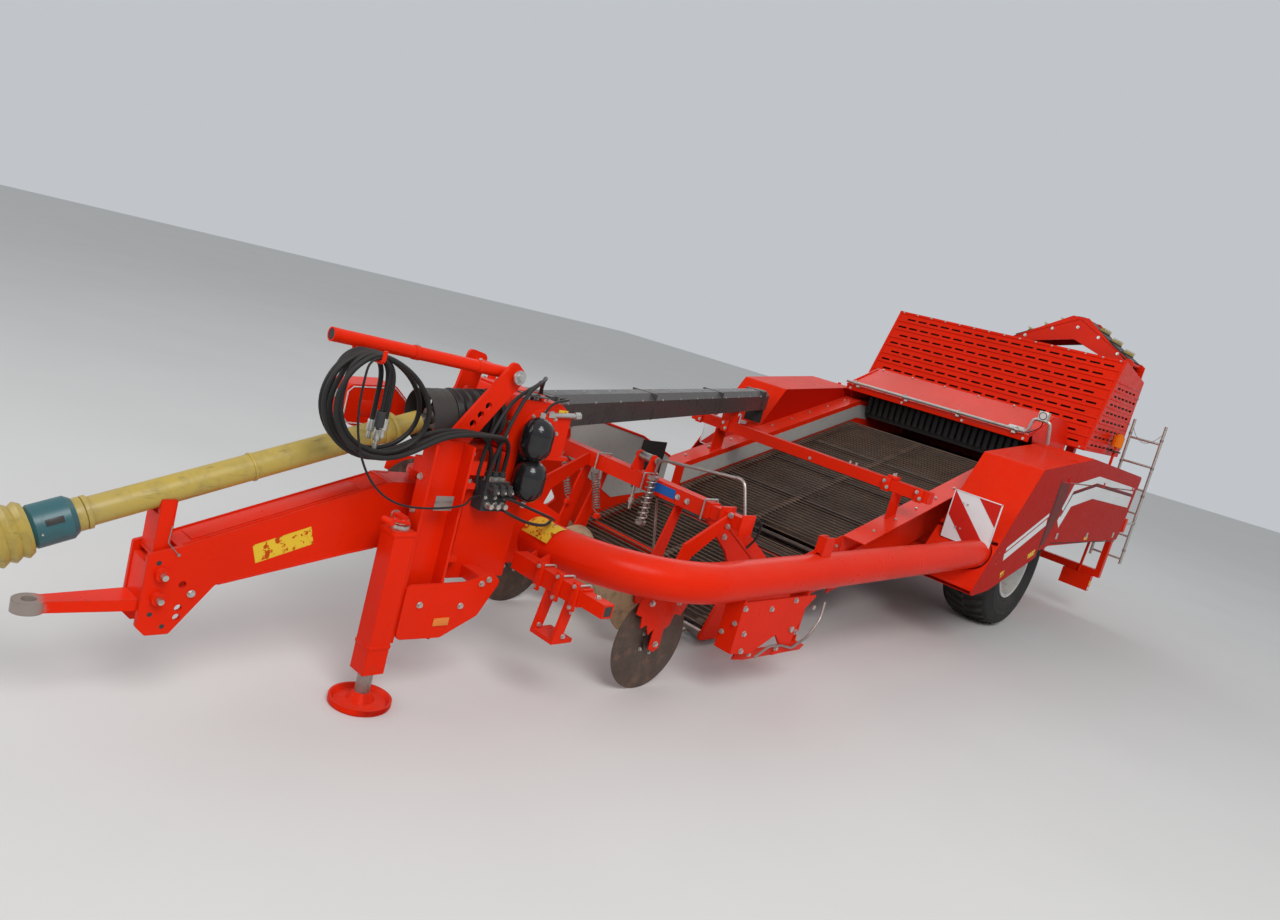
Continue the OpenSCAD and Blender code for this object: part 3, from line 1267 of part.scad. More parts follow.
// Outline of an intake side arm, from the lift shaft forward, up to the cross tube and down to the nose
arm_outline = [[190, 400], [190, 560], [-560, 470], [-900, 640], [-1500, 1000], [-1820, 1010], [-1820, 990],
  [-1420, 700], [-1180, 420], [-1330, 300], [-1430, 60], [-1150, 60], [-1000, 130], [-500, 250]];
module intake_frame() {
  h = cross_side / 2;
  color(paint) {
    both_sides() {
      side_plate(rounded(arm_outline, 20), arm_y0, arm_y0 + intake_t);
    }
    // Cross tube and its sliding ends
    block([tube_x - h, -1060, cross_z0], [tube_x + h, 1060, cross_z0 + cross_side]);
    both_sides() {
      block([tube_x - h + 10, 1059, cross_z0 + 10], [tube_x + h - 10, disc_y + 60, cross_z0 + cross_side - 10]);
    }
    // Tie tube between the front web's two runs
    bar_y(tie_x, -arm_y0 - 1, arm_y0 + 1, web_origin(front_x, nose_r, front_lift)[2] + (tie_x - front_x) * tan(web_slope), 56);
    // Disc arms
    for (y = [-disc_y, 0, disc_y]) {
      side = y > 0 ? -1 : 1;
      yp = y + side * disc_arm_y;
      ya = side > 0 ? yp : yp - intake_t;
      side_plate(rounded([[tube_x - h + 11, cross_z0 + 10], [tube_x - h + 11, cross_z0 + 90], [-2220, 860],
        [disc_x - 50, 340], [disc_x - 40, disc_z - 40], [disc_x + 40, disc_z - 40], [disc_x + 60, 380],
        [-2140, 780]], 15), ya, ya + intake_t);
      bar_y(disc_x, side > 0 ? y - 22 : yp - intake_t, side > 0 ? yp + intake_t : y + 22, disc_z, disc_pin);
    }
    // Forks of the ridge rollers
    for (y = [-ridge_y, ridge_y], s = [-1, 1]) {
      y0 = y + s * (ridge_half + 12);
      ya = s > 0 ? y0 : y0 - 16;
      side_plate(rounded([[tube_x - h + 30, cross_z0 + 1], [tube_x + h, cross_z0 + 1], [ridge_x + 60, ridge_z + 20],
        [ridge_x + 30, ridge_z - 40], [ridge_x - 30, ridge_z - 40], [ridge_x - 60, ridge_z + 60]], 15), ya, ya + 16);
    }
    for (y = [-ridge_y, ridge_y]) {
      bar_y(ridge_x, y - ridge_half - 27, y + ridge_half + 27, ridge_z, ridge_pin);
    }
    // Brackets of the top links
    for (y = [-ridge_y, ridge_y], s = [-70, 54]) {
      side_plate(rounded([[tube_x - 60, cross_z0 + cross_side - 1], [tube_x + 60, cross_z0 + cross_side - 1],
        [tube_x + 20, cross_z0 + 230], [tube_x - 20, cross_z0 + 230]], 14), y + s, y + s + 16);
    }
  }
  color(steel) {
    for (y = [-ridge_y, ridge_y]) {
      bar_y(tube_x, y - 90, y + 90, cross_z0 + 200, 32);
    }
    // Lift shaft
    bar_y(lift_x, -arm_y0 - intake_t - 10, arm_y0 + intake_t + 10, lift_z, lift_d);
  }
}

// Disc coulters: each a dished disc with its hub on the arm's pin
hub_w = 40;
module disc_coulter(y) {
  color(steel) {
    spun_y(disc_x, y, disc_z, [[disc_pin / 2 + fit, -hub_w / 2], [60, -hub_w / 2], [60, -5], [disc_d / 2 - 40, -5],
      [disc_d / 2, -1], [disc_d / 2, 1], [disc_d / 2 - 40, 5], [60, 5], [60, hub_w / 2], [disc_pin / 2 + fit, hub_w / 2]]);
  }
}
module disc_left() {
  disc_coulter(-disc_y);
}
module disc_middle() {
  disc_coulter(0);
}
module disc_right() {
  disc_coulter(disc_y);
}

// Ridge rollers: waisted drums that ride on the ridges
ridge_half = 330;
module ridge_roller(y) {
  r0 = waist_d / 2;
  r1 = ridge_d / 2;
  curve = [for (i = [0:12]) let (t = -1 + i / 6) [r0 + (r1 - r0) * (1 - cos(abs(t) * 90)), t * ridge_half]];
  color("burlywood") spun_y(ridge_x, y, ridge_z, concat([[ridge_pin / 2 + fit, -ridge_half]], curve,
    [[ridge_pin / 2 + fit, ridge_half]]));
}
module ridge_roller_left() {
  ridge_roller(-ridge_y);
}
module ridge_roller_right() {
  ridge_roller(ridge_y);
}

// Shares: two pairs of blades on a carrier bar in front of the web
module shares() {
  color(steel) {
    for (y = [-650, -210, 210, 650]) {
      side_plate([[-1740, 14], [-1700, 14], [-1420, 90], [-1420, 104], [-1440, 104]], y - 190, y + 190);
    }
    block([-1425, -arm_y0 - 1 + 1, 84], [-1385, arm_y0, 124]);
  }
}

module front_web() {
  on_slope(front_x, nose_r, front_lift) web_loop(front_run, nose_r, belt_y);
}
module front_rollers() {
  on_slope(front_x, nose_r, front_lift) {
    color(dark) for (x = [0, front_run]) {
      bar_y(x, -arm_y0, arm_y0, 0, 40);
      for (y = belt_y) {
        bar_y(x, y - 45, y + 45, 0, 2 * nose_r);
      }
    }
  }
}

// Coil springs beside the ridge rollers' forks, each on its rod between two caps
spring_d = 70;
wire_d = 12;
coils = 8;
coil_steps = 12;
spring_z0 = cross_z0 - 200;
spring_z1 = cross_z0 + 120;
spring_y = ridge_y + 170;
cap_t = 20;
module intake_springs() {
  x = tube_x - cross_side / 2 - spring_d / 2 - 12;
  r = (spring_d - wire_d) / 2;
  low = spring_z0 + cap_t + wire_d / 2 - 2;
  high = spring_z1 - cap_t - wire_d / 2 + 2;
  color(dark) for (y = [-spring_y, spring_y]) {
    bar([x, y, spring_z0], [x, y, spring_z1], 30);
    for (z = [spring_z0, spring_z1 - cap_t]) {
      translate([x, y, z]) cylinder(d = spring_d, h = cap_t);
    }
    block([x, y - 12, spring_z1 - cap_t], [tube_x - cross_side / 2, y + 12, spring_z1]);
    swept([for (i = [0:coils * coil_steps]) [x + r * cos(360 * i / coil_steps), y + r * sin(360 * i / coil_steps),
      low + (high - low) * i / (coils * coil_steps)]], wire_d / 2, 6, [0, 0, 1]);
  }
}

// Elevator: a slotted box that leans back, hinged along its right lower edge
elev_x0 = 4100;
elev_x1 = 4500;
elev_x2 = 5380;
elev_top = 2880;
elev_back = 2750;
elev_y0 = -1250;
elev_y1 = 1500;
slot_rows = 9;
module slots(length, height) {
  // Rows of slots in a sheet that lies in its own X and Y
  pitch_x = slot_l + 40;
  pitch_y = height / (slot_rows + 0.5);
  n = floor((length - 100) / pitch_x);
  for (r = [0:slot_rows - 1], i = [0:n - 1]) {
    shift = (r % 2) * pitch_x / 2;
    x = (length - n * pitch_x) / 2 + i * pitch_x + shift;
    if (x + slot_l < length - 30) translate([x, pitch_y * (r + 0.6)]) square([slot_l, slot_h]);
  }
}
module elevator_box() {
  lean = atan2(elev_x1 - elev_x0, elev_top - elev_z);
  face = norm([elev_x1 - elev_x0, elev_top - elev_z]);
  width = elev_y1 - elev_y0;
  color(paint) {
    // Front sheet
    translate([elev_x0, elev_y0, elev_z]) rotate([0, lean, 0]) rotate([90, 0, 90]) linear_extrude(elev_t) difference() {
      square([width, face]);
      slots(width, face);
    }
    // Rear sheet
    translate([elev_x2 - elev_t, elev_y0, elev_z]) rotate([90, 0, 90]) linear_extrude(elev_t) difference() {
      square([width, elev_back - elev_z]);
      slots(width, elev_back - elev_z);
    }
    // End sheets
    for (y = [elev_y0, elev_y1 - elev_t]) {
      translate([0, y + elev_t, 0]) rotate([90, 0, 0]) linear_extrude(elev_t) difference() {
        polygon([[elev_x0, elev_z], [elev_x2, elev_z], [elev_x2, elev_back], [elev_x1, elev_top]]);
        for (r = [0:slot_rows - 2]) {
          z = elev_z + 60 + r * 94;
          for (i = [0:5]) {
            x = elev_x0 + 120 + (z - elev_z) * tan(lean) + i * (slot_l + 40);
            if (x + slot_l < elev_x2 - 50) translate([x, z]) square([slot_l, slot_h]);
          }
        }
      }
    }
    // Lugs for the neck's pin
    for (x = [neck_x0 - lug_gap - lug_t, neck_x1 + lug_gap]) {
      difference() {
        cross_plate([[elev_y0 + 1, elev_z + 700], [elev_y0 + 40, elev_z + 700], [neck_pin_y + 36, neck_pin_z - 20],
          [neck_pin_y + 36, neck_pin_z + 18], [neck_pin_y + 18, neck_pin_z + 36],
          [neck_pin_y - 18, neck_pin_z + 36], [elev_y0 + 1, neck_pin_z + 10]], x, x + lug_t);
        bar([x - 1, neck_pin_y, neck_pin_z], [x + lug_t + 1, neck_pin_y, neck_pin_z], neck_pin_d + 2 * fit);
      }
    }
    // Floor and the hinge's eyes
    block([elev_x0, elev_y0, elev_z], [elev_x2, elev_y1, elev_z + elev_t]);
    for (x = post_x) {
      difference() {
        cross_plate([[hinge_y - 60, elev_z], [hinge_y - 36, hinge_z - 12], [hinge_y - 12, hinge_z - 38],
          [hinge_y + 12, hinge_z - 38], [hinge_y + 36, hinge_z - 12], [hinge_y + 38, hinge_z + 12],
          [hinge_y + 10, elev_z + 40], [elev_y1 - elev_t, elev_z + 120], [elev_y1 - 200, elev_z + elev_t - 1],
          [elev_y1 - 200, elev_z]], x + 40, x + 70);
        bar([x + 39, hinge_y, hinge_z], [x + 71, hinge_y, hinge_z], hinge_d + 2 * fit);
      }
    }
  }
}

// Folded neck of the elevator: two side plates in an upturned V with cross bars, hinged at its left end
neck_x0 = 4760;
neck_x1 = 5200;
neck_t = 10;
neck_y0 = elev_y0 + 30;
neck_y1 = 150;
neck_peak = -550;
neck_band = 260;
neck_pin_y = elev_y0 + 60;
neck_pin_z = elev_top + 10;
neck_pin_d = 40;
lug_t = 26;
lug_gap = 6;
module neck_side(x) {
  z0 = elev_top - 60;
  top = elev_top + neck_h;
  color(paint) cross_plate([[neck_y0, z0 + 30], [neck_y0 + 220, z0 + 30], [neck_peak, top - neck_band],
    [neck_y1 - 220, z0 + 70], [neck_y1, z0 + 70], [neck_peak + 90, top], [neck_peak - 90, top]], x, x + neck_t);
}
module elevator_neck() {
  neck_side(neck_x0);
  neck_side(neck_x1 - neck_t);
  color(paint) {
    bar([neck_x0 - lug_gap - lug_t - 2, neck_pin_y, neck_pin_z], [neck_x1 + lug_gap + lug_t + 2, neck_pin_y, neck_pin_z], neck_pin_d);
    bar([neck_x0 + 1, neck_y1 - 80, elev_top + 14], [neck_x1 - 1, neck_y1 - 80, elev_top + 14], 36);
    bar([neck_x0 + 1, neck_peak, elev_top + neck_h - 120], [neck_x1 - 1, neck_peak, elev_top + neck_h - 120], 40);
  }
}
module neck_belt() {
  top = elev_top + neck_h;
  color(rubber) {
    cross_plate([[neck_y0 + 60, elev_top + 20], [neck_peak, top - 90], [neck_y1 - 60, elev_top + 30],
      [neck_y1 - 30, elev_top + 50], [neck_peak + 40, top + 4], [neck_peak - 40, top + 4], [neck_y0 + 20, elev_top + 40]],
      neck_x0 + neck_t, neck_x1 - neck_t);
  }
}

head();
gearbox();
pto_bell();
pto_line_guard();
hose_arm();
accumulators();
valve_block();
hose_1();
hose_2();
hose_3();
cable_1();
hose_plugs();
tool_case();
lower_bracket();
jack_tube();
main_tube();
toolbar();
tube_brackets();
frame();
axle();
side_wall_left();
side_wall_right();
cross_beam();
main_web();
web_rollers();
cross_web();
finger_curtain();
cowl_left();
cowl_right();
hood();
hood_rail();
warning_boards();
lamps();
ladder();
drawbar();
tow_eye();
jack_leg();
pto_guard();
pto_collar();
pto_yoke();
intake_frame();
shares();
front_web();
front_rollers();
intake_springs();
disc_left();
disc_middle();
disc_right();
ridge_roller_left();
ridge_roller_right();
mirror([0, 1, 0]) tyre();  // tyre_left
mirror([0, 1, 0]) rim();  // rim_left
tyre();  // tyre_right
rim();  // rim_right
door_left();
door_right();
elevator_box();
elevator_neck();
neck_belt();
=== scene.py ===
"""Potato harvester parked on its jack: finishes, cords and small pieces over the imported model."""
import json
from math import cos, sin, pi, radians

import bmesh
import bpy
from mathutils import Matrix, Vector


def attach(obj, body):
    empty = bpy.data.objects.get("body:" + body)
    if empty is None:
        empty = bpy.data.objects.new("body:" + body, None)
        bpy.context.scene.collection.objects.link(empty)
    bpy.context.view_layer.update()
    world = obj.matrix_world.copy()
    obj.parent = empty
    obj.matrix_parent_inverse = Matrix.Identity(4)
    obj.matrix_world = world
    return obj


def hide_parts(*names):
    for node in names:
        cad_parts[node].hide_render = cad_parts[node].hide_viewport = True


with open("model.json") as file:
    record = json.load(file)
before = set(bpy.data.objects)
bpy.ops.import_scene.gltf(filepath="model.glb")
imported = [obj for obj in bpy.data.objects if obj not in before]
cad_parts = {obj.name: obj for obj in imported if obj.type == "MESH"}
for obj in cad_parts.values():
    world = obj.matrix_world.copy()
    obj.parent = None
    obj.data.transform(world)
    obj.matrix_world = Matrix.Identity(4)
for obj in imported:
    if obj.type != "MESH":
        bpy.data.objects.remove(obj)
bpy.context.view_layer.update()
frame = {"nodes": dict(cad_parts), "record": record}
nodes = frame["nodes"]


# Camera at the photograph's viewing angle

CAMERA_PLACE = (-6.4, -4.3, 2.1)
CAMERA_YAW = 40.6
CAMERA_PITCH = 9.2
CAMERA_ROLL = 15.35
FOCAL_PIXELS = 930
PHOTO_WIDTH = 1280


def make_camera():
    data = bpy.data.cameras.new("camera")
    data.sensor_fit = "HORIZONTAL"
    data.sensor_width = 36
    data.lens = FOCAL_PIXELS * data.sensor_width / PHOTO_WIDTH
    camera = bpy.data.objects.new("camera", data)
    bpy.context.scene.collection.objects.link(camera)
    yaw = Matrix.Rotation(radians(CAMERA_YAW - 90), 4, "Z")
    pitch = Matrix.Rotation(radians(90 - CAMERA_PITCH), 4, "X")
    roll = Matrix.Rotation(radians(CAMERA_ROLL), 4, "Z")
    camera.matrix_world = Matrix.Translation(CAMERA_PLACE) @ yaw @ pitch @ roll
    bpy.context.scene.camera = camera


make_camera()


# Finishes


class Finish:
    """A material and its node tree, with short calls for the nodes that the finishes share."""

    def __init__(self, name, rough=0.5, metal=0.0, color=(0.5, 0.5, 0.5)):
        self.material = bpy.data.materials.new(name)
        self.material.use_nodes = True
        self.tree = self.material.node_tree
        self.shader = self.tree.nodes["Principled BSDF"]
        self.shader.inputs["Base Color"].default_value = (*color, 1)
        self.shader.inputs["Roughness"].default_value = rough
        self.shader.inputs["Metallic"].default_value = metal
        self.place = self.node("ShaderNodeTexCoord").outputs["Object"]
        self.geometry = self.node("ShaderNodeNewGeometry").outputs

    def node(self, kind, sockets=None, **settings):
        """A node with its settings, its sockets set to values or joined to other nodes."""
        node = self.tree.nodes.new(kind)
        for key, value in settings.items():
            setattr(node, key, value)
        for key, value in (sockets or {}).items():
            self.join(value, node.inputs[key])
        return node

    def join(self, source, socket):
        if isinstance(source, bpy.types.NodeSocket):
            self.tree.links.new(source, socket)
        else:
            socket.default_value = source

    def noise(self, scale, detail=4.0, rough=0.6, stretch=None):
        place = self.place
        if stretch:
            mapping = self.node("ShaderNodeMapping", {"Vector": place, "Scale": stretch})
            place = mapping.outputs["Vector"]
        sockets = {"Vector": place, "Scale": scale, "Detail": detail, "Roughness": rough}
        return self.node("ShaderNodeTexNoise", sockets).outputs["Fac"]

    def cells(self, scale):
        """How far off the nearest of many scattered points is."""
        return self.node("ShaderNodeTexVoronoi", {"Vector": self.place, "Scale": scale}).outputs["Distance"]

    def ramp(self, value, low, high, start=0.0, end=1.0):
        """The value taken from low..high to start..end, and held there outside."""
        sockets = {"Value": value, "From Min": low, "From Max": high, "To Min": start, "To Max": end}
        return self.node("ShaderNodeMapRange", sockets).outputs["Result"]

    def math(self, operation, a, b=0.0):
        return self.node("ShaderNodeMath", {0: a, 1: b}, operation=operation).outputs[0]

    def mix(self, amount, a, b):
        a, b = [(*tone, 1) if isinstance(tone, tuple) else tone for tone in (a, b)]
        return self.node("ShaderNodeMix", {"Factor": amount, "A": a, "B": b},
                         data_type="RGBA").outputs["Result"]

    def axis(self, letter, source=None):
        return self.node("ShaderNodeSeparateXYZ", {0: source or self.place}).outputs[letter]

    def up(self):
        """How far the surface faces upwards, from -1 to 1."""
        return self.axis("Z", self.geometry["Normal"])

    def edges(self, low=0.52, high=0.6):
        """1 along outward edges, from the surface's pointiness."""
        return self.ramp(self.geometry["Pointiness"], low, high)

    def rounded_edges(self, radius):
        """Edges shaded as if rounded; gives 1 along them."""
        soft = self.node("ShaderNodeBevel", {"Radius": radius}, samples=3).outputs["Normal"]
        self.join(soft, self.shader.inputs["Normal"])
        dot = self.node("ShaderNodeVectorMath", {0: soft, 1: self.geometry["Normal"]},
                        operation="DOT_PRODUCT")
        return self.ramp(dot.outputs["Value"], 0.99, 0.93)

    def relief(self, height, strength=0.2, distance=0.002):
        """Adds a bump to those that the surface has."""
        bump = self.node("ShaderNodeBump", {"Strength": strength, "Distance": distance, "Height": height})
        last = self.shader.inputs["Normal"]
        if last.is_linked:
            self.join(last.links[0].from_socket, bump.inputs["Normal"])
        self.join(bump.outputs["Normal"], last)

    def color(self, value):
        self.join((*value, 1) if isinstance(value, tuple) else value, self.shader.inputs["Base Color"])

    def rough(self, value):
        self.join(value, self.shader.inputs["Roughness"])


RED = (0.78, 0.02, 0.002)
# Darker red for sideways faces: the side paint, deepened as painted shade for faces turned from the light
SIDE_RED_AND_SHADE = (0.44, 0.008, 0.002)
BEACON_ORANGE = (0.8, 0.2, 0.01)
DUST, MUD, BARE_SPOTS, OLD_DIRT = (0.36, 0.24, 0.17), (0.13, 0.085, 0.055), (0.1, 0.075, 0.065), (0.09, 0.06,
                                                                                                  0.045)
RUST = (0.19, 0.085, 0.045)
# Paint on the tow eye is worn off in front of this X; the beacon's lens starts at this Z
EYE_WORN_X, BEACON_Z = -5.26, 1.94


def painted(name, color, dust=0.09, mud=0.2, mud_height=0.6, wear=0.6, gloss=0.24, side=None, over=None,
            shine=0.07, peel=0.0):
    """Sprayed paint: patches of faded tone, dust on what faces up, mud low down, chipped edges.

    What faces sideways takes the side tone where one is given, a darker paint that also paints
    shade on faces turned from the light; what lies past a place along an axis takes another tone:
    over holds the axis, the place and the tone.
    """
    f = Finish(name)
    patches = f.noise(1.7, 5, 0.55)
    grime = f.noise(9.0, 8, 0.7)
    tone = f.mix(f.ramp(patches, 0.3, 0.7), tuple(c * 0.86 for c in color), color)
    faded = tuple(min(1.0, c * 0.93 + 0.004) for c in color)
    tone = f.mix(f.ramp(f.noise(0.8, 3), 0.45, 0.75, 0, 0.5), tone, faded)
    if side:
        # Sideways faces take the darker side tone: side paint, and painted shade on faces turned from the
        # light
        sideways = f.ramp(f.math("ABSOLUTE", f.axis("Y", f.geometry["Normal"])), 0.75, 0.95)
        tone = f.mix(sideways, tone, side)
    if over:
        axis, at, other = over
        past = f.math("ADD", f.axis(axis), f.ramp(f.noise(18.0, 6), 0.3, 0.7, -0.02, 0.02))
        tone = f.mix(f.ramp(past, at - 0.02, at + 0.02), tone, other)
    if peel:
        torn = f.ramp(f.noise(24.0, 7, 0.65), 0.545, 0.56, 0.0, peel)
        tone = f.mix(torn, tone, tuple(c * 0.6 for c in RED))
    flat = f.ramp(f.up(), 0.35, 0.95)
    dusty = f.math("MULTIPLY", flat, f.ramp(grime, 0.35, 0.75, dust * 0.2, dust * 1.3))
    tone = f.mix(dusty, tone, DUST)
    low = f.ramp(f.axis("Z"), 0.1, mud_height, mud, 0.0)
    splash = f.ramp(f.noise(14.0, 10, 0.75), 0.54, 0.66)
    streaks = f.ramp(f.noise(5.0, 6, 0.6, stretch=(1, 1, 0.18)), 0.55, 0.8, 0, 0.5)
    muddy = f.math("MULTIPLY", low, f.math("MAXIMUM", splash, streaks))
    tone = f.mix(muddy, tone, MUD)
    specks = f.math("MULTIPLY", f.ramp(f.cells(70), 0.12, 0.07), f.ramp(f.noise(3.0, 3), 0.55, 0.7))
    tone = f.mix(f.math("MULTIPLY", specks, 0.3), tone, OLD_DIRT)
    chips = f.math("MULTIPLY", f.rounded_edges(0.004), f.ramp(f.noise(30.0, 6, 0.7), 0.5, 0.58))
    chips = f.math("MULTIPLY", chips, wear)
    tone = f.mix(chips, tone, BARE_SPOTS)
    f.color(tone)
    rough = f.ramp(grime, 0.3, 0.8, gloss, gloss + 0.2)
    f.rough(f.math("MAXIMUM", rough, f.math("MULTIPLY", f.math("MAXIMUM", muddy, dusty), 0.9)))
    f.relief(f.noise(120.0, 2, 0.5), 0.05, 0.001)
    f.relief(f.noise(2.2, 2, 0.4), 0.25, 0.004)
    f.relief(muddy, 0.3, 0.002)
    f.shader.inputs["Specular IOR Level"].default_value = shine
    f.shader.inputs["Coat Weight"].default_value = 0.03
    f.shader.inputs["Coat Roughness"].default_value = 0.15
    return f.material


def bare_metal(name, color, rough=0.38, rust=0.5, brushed=0.3):
    """Bare or plated steel: cloudy tone, rust in patches, fine scratches."""
    f = Finish(name, metal=0.9)
    cloud = f.noise(6.0, 6, 0.65)
    tone = f.mix(f.ramp(cloud, 0.3, 0.7), tuple(c * 0.7 for c in color), color)
    rusty = f.math("MULTIPLY", f.ramp(f.noise(11.0, 9, 0.75), 0.52, 0.68), rust)
    tone = f.mix(rusty, tone, RUST)
    f.color(tone)
    f.join(f.ramp(rusty, 0, 0.6, 0.9, 0.25), f.shader.inputs["Metallic"])
    scratches = f.noise(60.0, 5, 0.6, stretch=(1, 6, 1))
    f.rough(f.math("ADD", f.ramp(scratches, 0.3, 0.7, rough - 0.1, rough + 0.12),
                   f.math("MULTIPLY", rusty, 0.35)))
    f.relief(scratches, brushed * 0.3, 0.0006)
    f.relief(rusty, 0.3, 0.001)
    return f.material


def zinc_plate(name, color=(0.55, 0.55, 0.53), tint=(0.58, 0.5, 0.33), amount=0.4):
    """Zinc plating with its spangle and a yellowish passivated tint in places."""
    f = Finish(name, metal=0.85)
    spangle = f.cells(90)
    tone = f.mix(f.ramp(spangle, 0.0, 0.6), tuple(c * 0.8 for c in color), color)
    tone = f.mix(f.ramp(f.noise(4.0, 5), 0.4, 0.7, 0, amount), tone, tint)
    dirt = f.ramp(f.noise(13.0, 8, 0.7), 0.55, 0.7, 0, 0.5)
    tone = f.mix(dirt, tone, (0.12, 0.09, 0.07))
    f.color(tone)
    f.rough(f.ramp(f.noise(20.0, 4), 0.3, 0.7, 0.28, 0.5))
    f.relief(spangle, 0.08, 0.0006)
    return f.material


def rubbery(name, color=(0.005, 0.005, 0.006), rough=0.42, dust=0.03, scale=1.0):
    """Black rubber or plastic: greyed by dust in its hollows, finely grained."""
    f = Finish(name)
    grime = f.noise(8.0 * scale, 8, 0.7)
    tone = f.mix(f.ramp(grime, 0.3, 0.7), color, tuple(c * 1.8 + 0.002 for c in color))
    flat = f.math("MULTIPLY", f.ramp(f.up(), 0.1, 0.9), f.ramp(grime, 0.35, 0.7, 0.1, dust))
    tone = f.mix(flat, tone, (0.2, 0.16, 0.12))
    scuffs = f.math("MULTIPLY", f.edges(), 0.35)
    tone = f.mix(scuffs, tone, (0.12, 0.11, 0.1))
    f.color(tone)
    f.rough(f.ramp(grime, 0.3, 0.7, rough - 0.1, rough + 0.15))
    f.relief(f.noise(160.0 * scale, 3, 0.6), 0.12, 0.0008)
    f.shader.inputs["Specular IOR Level"].default_value = 0.15
    return f.material


def moulded(name, color, rough=0.4, dirt=0.5):
    """Coloured plastic: sun-faded, scuffed and soiled."""
    f = Finish(name)
    tone = f.mix(f.ramp(f.noise(3.0, 4), 0.35, 0.7), color, tuple(min(1, c * 0.85 + 0.03) for c in color))
    soil = f.ramp(f.noise(12.0, 9, 0.75), 0.5, 0.68, 0, dirt)
    tone = f.mix(soil, tone, tuple(c * 0.25 + 0.02 for c in color))
    streaks = f.ramp(f.noise(30.0, 4, 0.6, stretch=(0.1, 1, 1)), 0.62, 0.7, 0, 0.35)
    tone = f.mix(streaks, tone, (0.05, 0.045, 0.04))
    f.color(tone)
    f.rough(f.ramp(soil, 0, 0.6, rough, rough + 0.3))
    f.relief(f.noise(90.0, 3), 0.08, 0.0008)
    return f.material


def web_rods(name):
    """Web rods: brown with dried soil, polished where the crop runs."""
    f = Finish(name, metal=0.35)
    soil = f.noise(7.0, 8, 0.7)
    tone = f.mix(f.ramp(soil, 0.35, 0.65), (0.075, 0.045, 0.032), (0.15, 0.09, 0.058))
    shine = f.math("MULTIPLY", f.ramp(f.up(), 0.6, 1.0), f.ramp(f.noise(3.0, 5), 0.4, 0.7, 0.05, 0.5))
    tone = f.mix(shine, tone, (0.28, 0.22, 0.18))
    f.color(tone)
    f.rough(f.ramp(soil, 0.3, 0.7, 0.45, 0.8))
    f.relief(soil, 0.4, 0.002)
    return f.material


finishes = {
    "paint_red": painted("red paint", RED),
    # Its sideways faces are darker: side paint and painted shade
    "paint_dark_red": painted("side red paint and painted shade", RED, wear=0.3, side=SIDE_RED_AND_SHADE, shine=0.02),
    "frame_grey": painted("grey paint", (0.045, 0.045, 0.048), dust=0.5),
    "bare_steel": bare_metal("bare steel", (0.42, 0.36, 0.33)),
    "zinc": zinc_plate("zinc plate"),
    "black_rubber": rubbery("black rubber"),
    "black_plastic": rubbery("black plastic", (0.018, 0.018, 0.02), 0.3, 0.2),
    "yellow_plastic": moulded("yellow plastic", (0.45, 0.32, 0.055), dirt=0.35),
    "teal_plastic": moulded("teal plastic", (0.015, 0.1, 0.115), 0.35, 0.3),
    "tyre_rubber": rubbery("tyre rubber", (0.024, 0.023, 0.022), 0.75, 0.5),
    "rim_white": painted("rim paint", (0.62, 0.61, 0.58), dust=0.4, mud=0.8, mud_height=1.2),
    "liner_grey": painted("liner grey", (0.42, 0.41, 0.38), dust=0.3, mud=0.35, mud_height=2.6, wear=0.8),
    "pillar_red": painted("pillar red", (0.16, 0.01, 0.008), wear=0.2),
    "eye_red": painted("tow eye paint", (0.3, 0.25, 0.22), wear=0.9, over=("X", EYE_WORN_X, RED)),
    "lamp_mix": painted("lamp boxes and beacon", RED, over=("Z", BEACON_Z, BEACON_ORANGE)),
    "disc_steel": bare_metal("disc steel", (0.16, 0.12, 0.1), rough=0.48, rust=0.9),
    "gloss_black": painted("gloss black", (0.01, 0.01, 0.011), dust=0.04, gloss=0.07, shine=0.5),
    "lamp_red": moulded("lamp red", (0.42, 0.008, 0.006), 0.15, 0.2),
    "lamp_clear": moulded("lamp clear", (0.62, 0.63, 0.62), 0.12, 0.3),
    "roller_tan": moulded("roller tan", (0.42, 0.27, 0.14), 0.6, 0.7),
    "board_white": painted("board white", (0.78, 0.78, 0.78), dust=0.1, mud=0.1),
    "lamp_orange": moulded("lamp orange", BEACON_ORANGE, 0.15, 0.2),
    "web_rods": web_rods("web rods"),
    "stripe_red": painted("stripe red", (0.6, 0.02, 0.012), dust=0.1, mud=0.1),
    "stripe_white": painted("stripe white", (0.76, 0.75, 0.74), dust=0.1, mud=0.2, wear=0.2),
    "stripe_maroon": painted("stripe maroon", (0.1, 0.008, 0.01), dust=0.1, mud=0.2, wear=0.2),
    "label_yellow": painted("yellow label", (0.8, 0.52, 0.04), dust=0.1, mud=0.5, wear=0.9, peel=0.9),
    "label_blue": painted("blue label", (0.02, 0.12, 0.42), dust=0.2, mud=0.3),
    "label_pale": painted("pale label", (0.66, 0.66, 0.64), dust=0.3, mud=0.5),
}

# Nodes whose finish differs from their slot's
NODE_FINISH = {
    "main_web": "web_rods",
    "front_web": "web_rods",
    "tow_eye": "eye_red",
    "lamps": "lamp_mix",
    "accumulators": "gloss_black",
    "intake_springs": "bare_steel",
    "disc_left": "disc_steel",
    "disc_middle": "disc_steel",
    "disc_right": "disc_steel",
}


def dress_cad():
    for entry in frame["record"]["subparts"]:
        name = NODE_FINISH.get(entry["node"], entry["material_slot"])
        mesh = nodes[entry["node"]].data
        mesh.materials.clear()
        mesh.materials.append(finishes[name])


dress_cad()


# Stage and light


